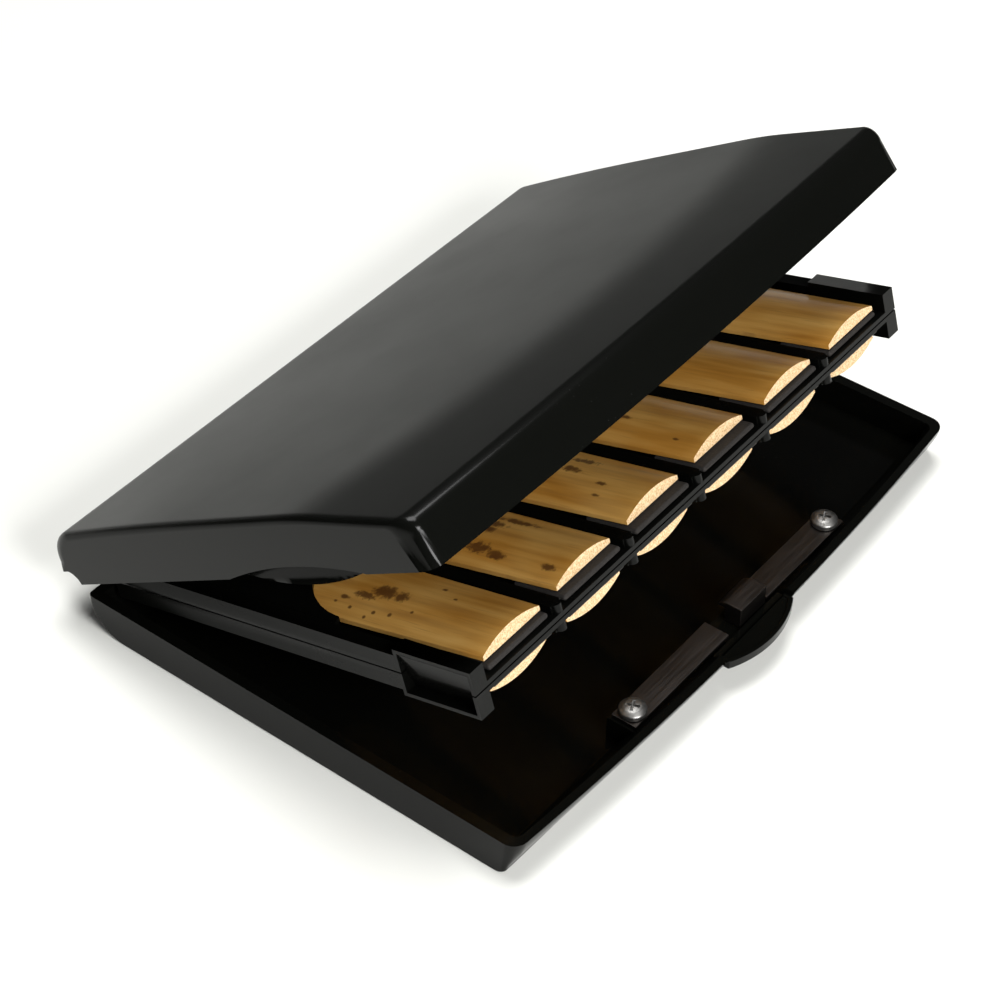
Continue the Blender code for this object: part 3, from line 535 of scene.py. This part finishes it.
def rimFrontY(x, inset):
    return frontY + case["frontBow"] * (1 - bowShare(x)) + cornerPull(inset, case["cornerRadius"])


def soleFrontY(x, inset):
    bow, corner = base["soleBow"] * bowShare(x), cornerPull(inset, base["soleCorner"])
    return -halfDepth + base["frontTuck"] - bow + corner


def baseSection(x):
    inset = halfLength - abs(x)
    rear = halfDepth - cornerPull(inset, case["rearCornerRadius"])
    rim, sole = rimFrontY(x, inset), soleFrontY(x, inset)
    top, low, large = base["height"], base["soleRound"], base["rearRound"]
    points = [(rim, top)]
    for i in range(1, base["frontSteps"]):
        share = i / base["frontSteps"]
        points.append((rim + (sole - rim) * share ** base["frontCurl"], top + (low - top) * share))
    points += arc((sole + low, low), low, 180, 270, 8)
    points += arc((rear - large, large), large, 270, 360, 20)
    points.append((rear, top))
    return [(x, y, z) for y, z in points]


def baseRoom(x):
    rim = rimFrontY(x, midway) + case["frontWall"] + cornerPull(roomHalf - abs(x), roomCorner)
    sole = soleFrontY(x, midway) + case["frontWall"]
    floor, top, small = base["floor"], base["height"], base["roomRound"]
    large = base["rearRound"] - floor
    rear = halfDepth - base["rearWall"]
    points = [(rim, top + clear), (rim, top),
              (rim + (sole - rim) * base["roomKnee"], (top + floor) / 2 + base["roomSwell"])]
    points += arc((sole + small, floor + small), small, 190, 270, 6)
    points += arc((rear - large, floor + large), large, 270, 360, 12)
    points.append((rear, top + clear))
    return [(x, y, z) for y, z in points]


def loftOf(section, places):
    bm = bmesh.new()
    addLoft(bm, [section(x) for x in places])
    return bm


def hingeSpans(side):
    spans, x = {}, halfLength - hinge["inset"]
    for name in ("outer", "tray", "lid", "inner"):
        spans[name] = tuple(mirrored(side, x, x - hinge[name]))
        x -= hinge[name] + hinge["sideGap"]
    return spans


def knuckleTools(names, armLow, armHigh):
    arms, barrels, bores = (bmesh.new() for _ in range(3))
    for side in (-1, 1):
        for name in names:
            low, high = hingeSpans(side)[name]
            addRod(barrels, (low, pinY, pinZ), (high, pinY, pinZ), hinge["barrel"])
            addRod(bores, (low - clear, pinY, pinZ), (high + clear, pinY, pinZ), hinge["bore"], 28)
            addBox(arms, (low + hinge["armInset"], *armLow), (high - hinge["armInset"], *armHigh))
    return [arms, barrels], [bores]


def buildBase():
    shell = solidFrom("baseShell", loftOf(baseSection, shellStations))
    combine(shell, cuts=[loftOf(baseRoom, roomStations)])
    armLow = (halfDepth - base["rearWall"] / 2, pinZ - hinge["baseArmDrop"])
    knuckles, bores = knuckleTools(("outer", "inner"), armLow, (pinY, pinZ))
    slots, bosses, holes, cutout = (bmesh.new() for _ in range(4))
    inside, margin, span = halfDepth - base["rearWall"] - clear, base["bossMargin"], latch["halfSpan"]
    outer, inner = stripOuter - margin, stripInner + margin
    low, middle = base["floor"] / 2, (base["height"] + base["floor"]) / 2
    top = latch["stripZ"] - seatGap
    for side in (-1, 1):
        near, far = hingeSpans(side)["tray"]
        addBox(slots, (near - hinge["slotGap"], inside, trayArmLow - runningGap),
               (far + hinge["slotGap"], halfDepth + clear, base["height"] + clear))
        start, end = mirrored(side, span + margin, span - 2 * latch["screwInset"] - margin)
        foot = soleFrontY(start, midway) + case["frontWall"] / 2
        addPrism(bosses, [(outer, top), (outer, middle), (foot, low), (inner, low), (inner, top)], start, end)
        x, bottom = side * screwX, latch["stripZ"] - latch["bite"] - runningGap
        addRod(holes, (x, stripY, bottom), (x, stripY, latch["stripZ"] + clear), screwHole, 24)
    addBox(cutout, (-base["cutoutHalf"], frontY - clear, base["cutoutBottom"]),
           (base["cutoutHalf"], stripY, base["height"] + clear))
    combine(shell, adds=[*knuckles, bosses], cuts=[slots, *bores, holes, cutout])
    soften(shell, base["edge"])
    setNormals(shell, endNormal, crisp=True)
    place(shell, "base", shut, basePlastic, ["base_shell"])


buildBase()
print("base built")


lid = dict(rise=10.9, rearDrop=0.8, frontDrop=2.3, crown=0.40, crease=0.668, creaseBow=9.3, topWall=1.6,
           rearWall=1.9, overhang=3.7, ledgeStep=1.1, rearLean=0.3, rearRound=6.5, frontLean=0.8,
           frontRound=3.0, endRound=1.4, topSteps=48, roomSteps=24, edge=0.20)
scoop = dict(span=35.0, centre=0.649, archRise=1.9, drop=3.0, rise=4.0, thickness=1.0, rampDepth=1.0,
             rootDepth=1.5, kneeRise=0.7, lipDrop=1.4, lipLeast=0.05, steps=36)


def lidTopZ(x, y, wall=0.0):
    depth = case["depth"]
    share = (halfDepth - y) / depth
    arch = lid["rearDrop"] * ((lid["crown"] - share) / lid["crown"]) ** 2 if share < lid["crown"] else 0.0
    crease = lid["crease"] + lid["creaseBow"] * bowShare(x) / depth
    past = max(0.0, share - crease) * depth
    soft = lid["creaseBow"]
    ease = past ** 2 / (2 * soft) if past < soft else past - soft / 2
    fall = lid["frontDrop"] * ease / (depth * (1 - lid["crease"]) - soft / 2)
    return rimZ + lid["rise"] - arch - fall - wall


def lidSection(x):
    inset = halfLength - abs(x)
    endDrop = cornerPull(inset, lid["endRound"])
    front = rimFrontY(x, inset)
    rear = halfDepth + lid["overhang"] - cornerPull(inset, case["rearCornerRadius"])
    points = arc((pinY, rimZ), hinge["notch"], 180, 180 - hinge["notchSweep"], 14)
    points.append((rear, points[-1][1]))
    roundY = rear - lid["rearLean"] - lid["rearRound"]
    roundZ = lidTopZ(x, roundY) - lid["rearRound"]
    points += arc((roundY, roundZ), lid["rearRound"] - endDrop, 10, 90, 14)
    last = front + lid["frontLean"] + lid["frontRound"]
    for i in range(1, lid["topSteps"]):
        y = roundY + (last - roundY) * i / lid["topSteps"]
        points.append((y, lidTopZ(x, y) - endDrop))
    points += arc((last, lidTopZ(x, last) - lid["frontRound"]), lid["frontRound"] - endDrop, 90, 180, 14)
    points.append((front + min(endDrop, lid["endRound"] / 2), rimZ))
    return [(x, y, z) for y, z in points]


def lidRoom(x):
    wall = lid["topWall"]
    front = rimFrontY(x, midway) + case["frontWall"] + cornerPull(roomHalf - abs(x), roomCorner)
    ledge = halfDepth - lid["rearWall"] - lid["ledgeStep"]
    upper = halfDepth + lid["overhang"] - lid["rearWall"]
    points = [(ledge, rimZ - clear), (ledge, rimZ + lid["rearWall"])]
    rearRound, frontRound = lid["rearRound"] - wall / 2, lid["frontRound"] - wall / 2
    roundY = upper - rearRound
    points += arc((roundY, lidTopZ(x, roundY, wall) - rearRound), rearRound, 90 - hinge["notchSweep"], 90, 10)
    last = front + lid["frontLean"] + frontRound
    for i in range(1, lid["roomSteps"]):
        y = roundY + (last - roundY) * i / lid["roomSteps"]
        points.append((y, lidTopZ(x, y, wall)))
    points += arc((last, lidTopZ(x, last, wall) - frontRound), frontRound, 90, 180, 8)
    points.append((front, rimZ - clear))
    return [(x, y, z) for y, z in points]


def scoopTools():  # the arch cut in each end wall, and the tongue behind it that slopes down to a lip
    centre, half = halfDepth - scoop["centre"] * case["depth"], scoop["span"] / 2
    shares = [2 * i / scoop["steps"] - 1 for i in range(scoop["steps"] + 1)]
    crown = [(centre + s * half, rimZ + scoop["archRise"] * (1 - s * s)) for s in shares]
    foot = [(centre + s * half, rimZ - scoop["drop"] * (1 - s * s)) for s in shares]
    arches, tongues, bridges = (bmesh.new() for _ in range(3))
    knee, top, thick = rimZ + scoop["kneeRise"], rimZ + scoop["rise"], scoop["thickness"]
    face = roomHalf - runningGap
    depths = (0, scoop["rampDepth"], scoop["rootDepth"], thick)
    below = [(centre + half, rimZ - clear), (centre - half, rimZ - clear)]
    for side in (-1, 1):
        addPrism(arches, below + crown, side * (roomHalf - runningGap / 2), side * (halfLength + clear))
        front, ramp, root, back = (side * (face - depth) for depth in depths)
        rings = []
        for y, low in foot:
            lip = max(low + scoop["lipLeast"], rimZ - scoop["lipDrop"])
            rings.append([(front, y, low), (front, y, lip), (ramp, y, knee), (ramp, y, top), (root, y, top),
                          (root, y, knee), (back, y, lip), (back, y, low)])
        addLoft(tongues, rings)
        low, high = sorted((root, side * (roomHalf + case["endWall"] / 2)))
        addBox(bridges, (low, centre - half + thick, rimZ + scoop["archRise"] + thick / 2),
               (high, centre + half - thick, top - thick / 2))
    return arches, [tongues, bridges]


def buildLid():
    shell = solidFrom("lidShell", loftOf(lidSection, shellStations))
    combine(shell, cuts=[loftOf(lidRoom, roomStations)])
    arches, tongues = scoopTools()
    knuckles, bores = knuckleTools(("lid",), (pinY - hinge["lidArmFront"], pinZ),
                                   (pinY - hinge["lidArmBack"], rimZ + hinge["notch"] + lid["rearWall"] / 3))
    combine(shell, adds=[*tongues, *knuckles], cuts=bores)
    soften(shell, lid["edge"])
    combine(shell, cuts=[arches])
    evenNormals(shell)
    setNormals(shell, endNormal, crisp=True)
    setNormals(shell, frontNormal)
    place(shell, "lid", lidTurn, lidPlastic, ["lid_shell"])


def buildCatch():
    plate = stripInner - seatGap + runningGap
    ledgeTop = latch["hookTop"] - latch["noseHeight"] - runningGap
    ledgeLow, tip = ledgeTop - latch["ledge"], stripInner - seatGap - latch["catchOverlap"]
    thick = latch["catchThickness"]
    gusset = latch["gusset"] * thick
    head = plate + gusset
    plateTop, headTop = (lidTopZ(0, y, lid["topWall"]) - seatGap for y in (plate, head))
    outline = [(tip, ledgeTop), (tip, ledgeLow + latch["ledge"] / 2), (plate, ledgeLow),
               (plate + thick, ledgeLow), (plate + thick, plateTop - gusset), (head, headTop - thick),
               (head, headTop), (plate, plateTop), (plate, ledgeTop)]
    middle, half = latch["hookStart"] + latch["hookWidth"] / 2, latch["catchWidth"] / 2
    bm = bmesh.new()
    addPrism(bm, outline, middle - half, middle + half)
    catch = soften(solidFrom("lidCatch", bm), latch["catchEdge"])
    place(catch, "lid", lidTurn, trayPlastic, ["lid_catch"])


buildLid()
buildCatch()
print("lid built")


tray = dict(width=124.6, front=pinY - 89.6, rear=halfDepth - 3.6, rail=3.4, railWidth=2.9, plate=0.8,
            hoodHeight=3.6, hoodArch=2.0, hoodPlate=0.7, hoodFront=pinY - 58.0, hoodRear=pinY - 8.3,
            hoodRearWall=0.7, scallopDepth=11.0, scallopHalf=8.7, scallopSteps=28, pitch=19.82, count=6,
            pocketGap=0.3, divider=2.6, dividerTop=2.6, nib=1.0, ear=4.6, earWidth=3.2, earLength=16.3,
            earBorder=0.7, earRecess=2.1, edge=0.14)
reed = dict(length=77.0, butt=14.6, tip=17.6, height=2.45, edge=0.85, vampStart=42.0, vampCurl=1.25,
            vampCrown=0.35, tipHeight=0.22, tipArc=5.0, tipRest=1.2, front=pinY - 87.6, slack=1.0, flat=2.6,
            rounding=0.10, roundedFrom=50, steps=24, barkSteps=6, vampSteps=16,
            tipShares=(0.2, 0.4, 0.58, 0.74, 0.86, 0.94, 0.985))


def reedX(index):
    return (index - (tray["count"] - 1) / 2) * tray["pitch"]


def arched(centre, half, foot, rise, steps=24):
    radius = (half ** 2 + rise ** 2) / (2 * rise)
    spread = [half * (2 * i / steps - 1) for i in range(steps + 1)]
    return [(centre + a, foot + rise - radius + math.sqrt(radius ** 2 - a ** 2)) for a in spread]


def buildHalfTray(name, above):
    low = midZ + shutGap / 2
    front, rear, top = tray["front"], tray["rear"], low + tray["plate"]
    half, side = tray["width"] / 2, tray["width"] / 2 - tray["railWidth"]
    foot, pocketHalf = midZ + tray["hoodHeight"], reed["tip"] / 2 + tray["pocketGap"]
    plate, rails, hood, dividers, nibs, ears, pockets, scallops, grips = (bmesh.new() for _ in range(9))
    addBox(plate, (-half, front, low), (half, rear, top))
    crowns = []
    for i in range(tray["count"]):
        crowns += arched(reedX(i), pocketHalf + tray["hoodPlate"], foot, tray["hoodArch"])
    addPrism(hood, [(side, low), (-side, low), (-side, foot)] + crowns + [(side, foot)],
             tray["hoodFront"], tray["hoodRear"], "Y")
    for end in (-1, 1):
        x0, x1 = mirrored(end, half, side)
        addBox(rails, (x0, front, low), (x1, rear, midZ + tray["rail"]))
        x0, x1 = mirrored(end, half, half - tray["earWidth"])
        addBox(ears, (x0, front, low), (x1, front + tray["earLength"], midZ + tray["ear"]))
        x0, x1 = mirrored(end, half + clear, half - tray["earRecess"])
        addBox(grips, (x0, front + tray["earBorder"], low - clear),
               (x1, front + tray["earLength"] - tray["earBorder"], midZ + tray["ear"] - tray["earBorder"]))
    nose, crest, width = front + tray["nib"], midZ + tray["dividerTop"], tray["divider"]
    for i in range(tray["count"] - 1):
        x = (reedX(i) + reedX(i + 1)) / 2
        addBox(dividers, (x - width / 2, nose, low), (x + width / 2, tray["hoodFront"] + clear, crest))
        addRod(nibs, (x, nose, low), (x, nose, crest), tray["nib"], 20)
    wide, deep, start = tray["scallopHalf"], tray["scallopDepth"], tray["hoodFront"]
    turns = [math.pi * k / tray["scallopSteps"] for k in range(tray["scallopSteps"] + 1)]
    for i in range(tray["count"]):
        x = reedX(i)
        ceiling = arched(x, pocketHalf, foot - tray["hoodPlate"], tray["hoodArch"])
        addPrism(pockets, [(x + pocketHalf, top), (x - pocketHalf, top)] + ceiling, start - clear,
                 tray["hoodRear"] - tray["hoodRearWall"], "Y")
        curve = [(x + wide * math.cos(t), start + deep * math.sin(t)) for t in turns]
        addPrism(scallops, curve + [(x - wide, start - clear), (x + wide, start - clear)],
                 foot - 2 * tray["hoodPlate"], foot + tray["hoodArch"] + clear, "Z")
    body = solidFrom(name, plate)
    combine(body, adds=[rails, hood, dividers, nibs, ears], cuts=[pockets, scallops, grips])
    if not above:
        flip = Matrix.Scale(-1, 4, (0, 0, 1))
        body.data.transform(Matrix.Translation((0, 0, midZ)) @ flip @ Matrix.Translation((0, 0, -midZ)))
        body.data.flip_normals()
        knuckles, bores = knuckleTools(("tray",), (rear - tray["railWidth"], trayArmLow),
                                       (pinY, midZ - shutGap / 2))
        combine(body, adds=knuckles, cuts=bores)
    soften(body, tray["edge"])
    node = "tray_upper_half" if above else "tray_lower_half"
    place(body, "tray", trayTurn, trayPlastic, [node])


# The web's outline: depth behind the ear's outer face, and height over the tray's seam
earWeb = dict(outline=((0.15, 3.7), (0.75, 3.7), (2.05, -2.3), (1.65, -2.3)), play=0.05, edge=0.08)


def buildEarPanels():  # a thin web slopes across the recess of each ear
    half, y = tray["width"] / 2, tray["front"] + tray["earBorder"] + earWeb["play"]
    length = tray["earLength"] - 2 * tray["earBorder"] - 2 * earWeb["play"]
    bm = bmesh.new()
    for end in (-1, 1):
        outline = [(end * (half - depth), midZ + rise) for depth, rise in earWeb["outline"]]
        addPrism(bm, outline, y, y + length, "Y")
    place(soften(solidFrom("earPanels", bm), earWeb["edge"]), "tray", trayTurn, basePlastic)


buildHalfTray("trayUpperHalf", True)
buildHalfTray("trayLowerHalf", False)
buildEarPanels()
print("tray built")

pad = dict(width=15.4, depth=11.0, lead=1.2, rounding=0.5)


def buildPads(above):
    word = "upper" if above else "lower"
    low = shutGap / 2 + tray["plate"] + seatGap
    slope = (reed["tipRest"] - reed["flat"]) * (pad["depth"] - pad["lead"]) / reed["length"]
    high = reed["flat"] + slope - seatGap
    if not above:
        low, high = -high, -low
    bm = bmesh.new()
    addBox(bm, (-pad["width"] / 2, 0, low), (pad["width"] / 2, pad["depth"], high))
    single = soften(solidFrom("pad", bm), pad["rounding"], 3)
    row = rowOf(f"{word}Rests", single, tray["count"], (reedX(0), reed["front"] - pad["lead"], midZ),
                (tray["pitch"], 0, 0), rubber)
    place(row, "tray", trayTurn, None, [f"pad_{word}_{i + 1}" for i in range(tray["count"])])


for above in (True, False):
    buildPads(above)
print("pads built")


def reedTop(share, along, half):
    rise = reed["height"] - reed["edge"]
    radius = (half ** 2 + rise ** 2) / (2 * rise)
    bark = reed["height"] - (radius - math.sqrt(radius ** 2 - (share * half) ** 2))
    if along <= reed["vampStart"]:
        return bark
    fall = (along - reed["vampStart"]) / (reed["length"] - reed["vampStart"])
    vamp = reed["height"] * (1 - fall) ** reed["vampCurl"] + reed["tipHeight"] * fall
    return min(bark, max(vamp * (1 - reed["vampCrown"] * share ** 2), reed["tipHeight"] / 2))


def reedRings(bm, front):
    vamp, tipStart = reed["vampStart"], reed["length"] - reed["tipArc"]
    shares = [1 - 2 * i / reed["steps"] for i in range(reed["steps"] + 1)]
    places = [0.0] + [vamp * i / reed["barkSteps"] for i in range(1, reed["barkSteps"] + 1)]
    places += [vamp + (tipStart - vamp) * i / reed["vampSteps"] for i in range(1, reed["vampSteps"] + 1)]
    places += [tipStart + reed["tipArc"] * share for share in reed["tipShares"]]
    rings = []
    for along in places:
        width = reed["butt"] + (reed["tip"] - reed["butt"]) * along / reed["length"]
        past = max(0.0, along - tipStart) / reed["tipArc"]
        half = width / 2 * (math.sqrt(1 - past ** 2) if past else 1)
        flat = reed["flat"] + (reed["tipRest"] - reed["flat"]) * along / reed["length"]
        loop = [(half, flat)]
        loop += [(s * half, flat + reedTop(s, along, width / 2)) for s in shares]
        loop.append((-half, flat))
        rings.append([bm.verts.new((x, front + along, z)) for x, z in loop])
    return places, rings


def buildReed(index, above, slack):
    word = "upper" if above else "lower"
    front = reed["front"] + reed["slack"] * slack
    bm = bmesh.new()
    uvLayer = bm.loops.layers.uv.new("map")
    places, rings = reedRings(bm, front)
    count = len(rings[0])
    for along, here, there in zip(places, rings, rings[1:]):
        for i in range(count):
            j = (i + 1) % count
            face = bm.faces.new((here[i], here[j], there[j], there[i]))
            face.material_index = 0 if i < count - 1 and along < reed["vampStart"] else 1
    for ring in (rings[0], rings[-1][::-1]):
        bm.faces.new(ring).material_index = 1
    shift = reedMap["pitch"] * (index + 1 + (0 if above else tray["count"]))
    for face in bm.faces:
        end = len(face.verts) > 4
        for loop in face.loops:
            x, y, z = loop.vert.co
            loop[uvLayer].uv = (x + shift, z - reedMap["endGap"] if end else y - front)
    for vert in bm.verts:
        vert.co.x += reedX(index)
        vert.co.z = midZ + vert.co.z * (1 if above else -1)
    obj = solidFrom(f"{word}Reed{index + 1}", bm)
    obj.data.materials.append(caneBark)
    obj.data.materials.append(caneCut)
    soften(obj, reed["rounding"], angle=reed["roundedFrom"])
    place(obj, "tray", trayTurn, None, [f"reed_{word}_{index + 1}"])


reedSlack = dict(upper=(0.0, 0.55, 0.80, 1.0, -0.20, -0.90), lower=(0.3, 0.0, 0.15, 0.1, -0.2, -0.1))
for i in range(tray["count"]):
    buildReed(i, True, reedSlack["upper"][i])
    buildReed(i, False, reedSlack["lower"][i])
print("reeds built")


def buildStrips():
    for name, node, low, high, side in (
            ("latchLeafNear", "latch_leaf_near", -latch["halfSpan"], -latch["nearEnd"], -1),
            ("latchLeafFar", "latch_leaf_far", latch["farStart"], latch["halfSpan"], 1)):
        bm, hole = bmesh.new(), bmesh.new()
        x, bottom = side * screwX, latch["stripZ"]
        addBox(bm, (low, stripOuter, bottom), (high, stripInner, bottom + latch["thickness"]))
        addRod(hole, (x, stripY, bottom - clear), (x, stripY, bottom + clear), screwHole, 24)
        leaf = soften(combine(solidFrom(name, bm), cuts=[hole]), latch["stripEdge"])
        place(leaf, "base", shut, springSteel, [node])


screw = dict(crown=0.45, crownShares=(0.3, 0.55, 0.75), shoulder=0.45, shoulderDrop=0.9, recess=0.9,
             slotWidth=0.52, slotLength=2.5, slotRim=0.1, slotFloor=0.45, turn=24,
             sides=40, weld=0.001, edge=0.05, roundedFrom=30)


def buildScrews():
    radius, seat, shank = latch["headRadius"], latch["thickness"] + seatGap, latch["shank"]
    top = seat + latch["headHeight"]
    profile = [(0, top)] + [(radius * s, top - screw["crown"] * s ** 2) for s in screw["crownShares"]]
    profile += arc((radius - screw["shoulder"], top - screw["shoulderDrop"]), screw["shoulder"], 65, 0, 5)
    profile += [(radius, seat), (shank, seat), (shank, -latch["bite"]), (0, -latch["bite"])]
    bm = bmesh.new()
    verts = [bm.verts.new((r, 0, z)) for r, z in profile]
    edges = [bm.edges.new(pair) for pair in zip(verts, verts[1:])]
    bmesh.ops.spin(bm, geom=verts + edges, cent=(0, 0, 0), axis=(0, 0, 1), angle=2 * math.pi,
                   steps=screw["sides"])
    bmesh.ops.remove_doubles(bm, verts=bm.verts, dist=screw["weld"])
    head = solidFrom("screw", bm)
    half, width = screw["slotLength"] / 2, screw["slotWidth"] / 2
    floor, deep, rim = half * screw["slotFloor"], top - screw["recess"], top - screw["slotRim"]
    cross = []
    for turn in (0, 90):
        bm = bmesh.new()
        addPrism(bm, [(-half, top + clear / 2), (-half, rim), (-floor, deep), (floor, deep),
                      (half, rim), (half, top + clear / 2)], -width, width)
        tilt = Matrix.Rotation(math.radians(turn + screw["turn"]), 3, "Z")
        bmesh.ops.rotate(bm, verts=bm.verts, cent=(0, 0, 0), matrix=tilt)
        cross.append(bm)
    soften(combine(head, cuts=cross), screw["edge"], angle=screw["roundedFrom"])
    row = rowOf("latchScrews", head, 2, (-screwX, stripY, latch["stripZ"]), (2 * screwX, 0, 0), platedSteel)
    place(row, "base", shut, None, ["latch_screw_near", "latch_screw_far"])


tabHalf = base["cutoutHalf"] - runningGap


def tabOutline():
    radius = (tabHalf ** 2 + latch["tabBulge"] ** 2) / (2 * latch["tabBulge"])
    reach = math.degrees(math.asin(tabHalf / radius))
    centre = frontY - latch["tabBulge"] + radius
    inner = frontY + case["frontWall"] + runningGap
    return [(tabHalf, inner), (-tabHalf, inner)] + arc((0, centre), radius, -90 - reach, -90 + reach, 40)


def buildLever():
    innerWall = frontY + case["frontWall"]
    bm, dish, web, plate = (bmesh.new() for _ in range(4))
    top, dished, bottom = latch["tabTop"], latch["tabTop"] - latch["tabDish"], latch["leverBottom"]
    addPrism(bm, tabOutline(), top - latch["tabThickness"], top, axis="Z")
    shrink = [(x * (1 - latch["tabRim"] / tabHalf), y + latch["tabRim"]) for x, y in tabOutline()]
    addPrism(dish, shrink, dished, top + clear, axis="Z")
    webFront, plateFront = innerWall - runningGap, innerWall + runningGap
    addBox(web, (-tabHalf, webFront, bottom), (tabHalf, stripOuter - runningGap, dished - seatGap))
    addBox(plate, (-tabHalf, plateFront, bottom), (tabHalf, stripInner - seatGap, latch["leverTop"]))
    tab = combine(solidFrom("thumbTab", bm), cuts=[dish])
    combine(tab, adds=[web, plate])
    place(soften(tab, latch["tabEdge"], 3), "latch", shut, basePlastic, ["latch_thumb_tab"])


def buildHook():
    tip, top, foot = stripInner - seatGap, latch["hookTop"], latch["leverTop"] + seatGap
    neck, noseLow = tip - latch["noseDepth"], top - latch["noseHeight"]
    outline = [(stripOuter, foot), (neck, foot), (neck, noseLow), (tip, noseLow),
               (tip, top - latch["rampDrop"]), (neck, top), (stripOuter, top)]
    bm = bmesh.new()
    addPrism(bm, outline, latch["hookStart"], latch["hookStart"] + latch["hookWidth"])
    hook = soften(solidFrom("latchHook", bm), latch["hookEdge"], 3)
    place(hook, "latch", shut, springSteel, ["latch_hook"])


def buildPins():
    for side, word in ((-1, "left"), (1, "right")):
        ends = [x for span in hingeSpans(side).values() for x in span]
        bm = bmesh.new()
        addRod(bm, (min(ends), pinY, pinZ), (max(ends), pinY, pinZ), hinge["pin"], 32)
        rod = soften(solidFrom(f"hingePin{word.title()}", bm), hinge["pinEdge"])
        place(rod, "base", shut, platedSteel, [f"hinge_pin_{word}"])


buildStrips()
buildScrews()
buildLever()
buildHook()
buildPins()
print("latch and hinge built")


studio = dict(floorHalf=3.0, floorDrop=0.0002, floorColour=(0.80, 0.803, 0.765), floorRoughness=0.7,
              floorShine=0.2, worldLow=(0.012, 0.012, 0.012), worldHigh=(0.10, 0.10, 0.10), worldRise=0.8)
lamps = [dict(name="overhead", place=(0.10, 0.10, 0.78), aim=(0.09, 0.09, 0), size=(0.40, 0.40), power=6.6),
         dict(name="front", place=(-0.18, -0.52, 0.40), aim=(0, -0.02, 0.02), size=(0.26, 0.20), power=4.2),
         dict(name="low", place=(-0.24, -0.60, 0.15), aim=(0, -0.03, 0.03), size=(0.20, 0.10), power=1.6)]


def link(name, data):
    obj = bpy.data.objects.new(name, data)
    bpy.context.scene.collection.objects.link(obj)
    return obj


def buildFloor():
    bm = bmesh.new()
    half = studio["floorHalf"]
    bm.faces.new([bm.verts.new((x * half, y * half, 0)) for x, y in ((-1, -1), (1, -1), (1, 1), (-1, 1))])
    floor = solidFrom("floor", bm)
    floor.data.transform(Matrix.Translation((0, 0, -studio["floorDrop"])))
    material, wire, shader = newMaterial("paleFloor")
    wire.fill(shader, Base_Color=(*studio["floorColour"], 1), Roughness=studio["floorRoughness"],
              Specular_IOR_Level=studio["floorShine"])
    floor.data.materials.append(material)


def buildWorld():
    world = bpy.data.worlds.new("studioWorld")
    bpy.context.scene.world = world
    world.use_nodes = True
    wire = Wire(world.node_tree)
    up = wire.node("ShaderNodeSeparateXYZ", Vector=wire.coordinates("Generated")).outputs["Z"]
    share = wire.spread(up, 0.0, studio["worldRise"])
    sky = wire.ramp(share, (0.0, studio["worldLow"]), (1.0, studio["worldHigh"]))
    wire.fill(world.node_tree.nodes["Background"], Color=sky)


def buildLamps():
    for lamp in lamps:
        data = bpy.data.lights.new(lamp["name"], "AREA")
        data.shape = "RECTANGLE"
        data.size, data.size_y = lamp["size"]
        data.energy = lamp["power"]
        obj = link(lamp["name"], data)
        obj.location = lamp["place"]
        obj.rotation_euler = (Vector(lamp["aim"]) - obj.location).to_track_quat("-Z", "Y").to_euler()


viewpoint = dict(azimuth=-52.63, elevation=42.23, roll=0.56, distance=0.4784, aim=(-0.00006, 0.00738, 0.005),
                 focalPixels=2601.3, framePixels=1000, sensor=36.0, clip=(0.01, 20))


def buildCamera():
    turn, rise, roll = (math.radians(viewpoint[key]) for key in ("azimuth", "elevation", "roll"))
    back = Vector((math.sin(turn) * math.cos(rise), -math.cos(turn) * math.cos(rise), math.sin(rise)))
    right = Vector((0, 0, 1)).cross(back).normalized()
    up = back.cross(right)
    tilted = right * math.cos(roll) + up * math.sin(roll)
    upright = up * math.cos(roll) - right * math.sin(roll)
    data = bpy.data.cameras.new("camera")
    data.sensor_width = viewpoint["sensor"]
    data.lens = viewpoint["focalPixels"] / viewpoint["framePixels"] * viewpoint["sensor"]
    data.clip_start, data.clip_end = viewpoint["clip"]
    camera = link("camera", data)
    camera.matrix_world = (Matrix.Translation(Vector(viewpoint["aim"]) + back * viewpoint["distance"])
                           @ Matrix((tilted, upright, back)).transposed().to_4x4())
    bpy.context.scene.camera = camera


buildFloor()
buildWorld()
buildLamps()
buildCamera()
bpy.context.scene.view_settings.view_transform = "Standard"
print("scene complete")
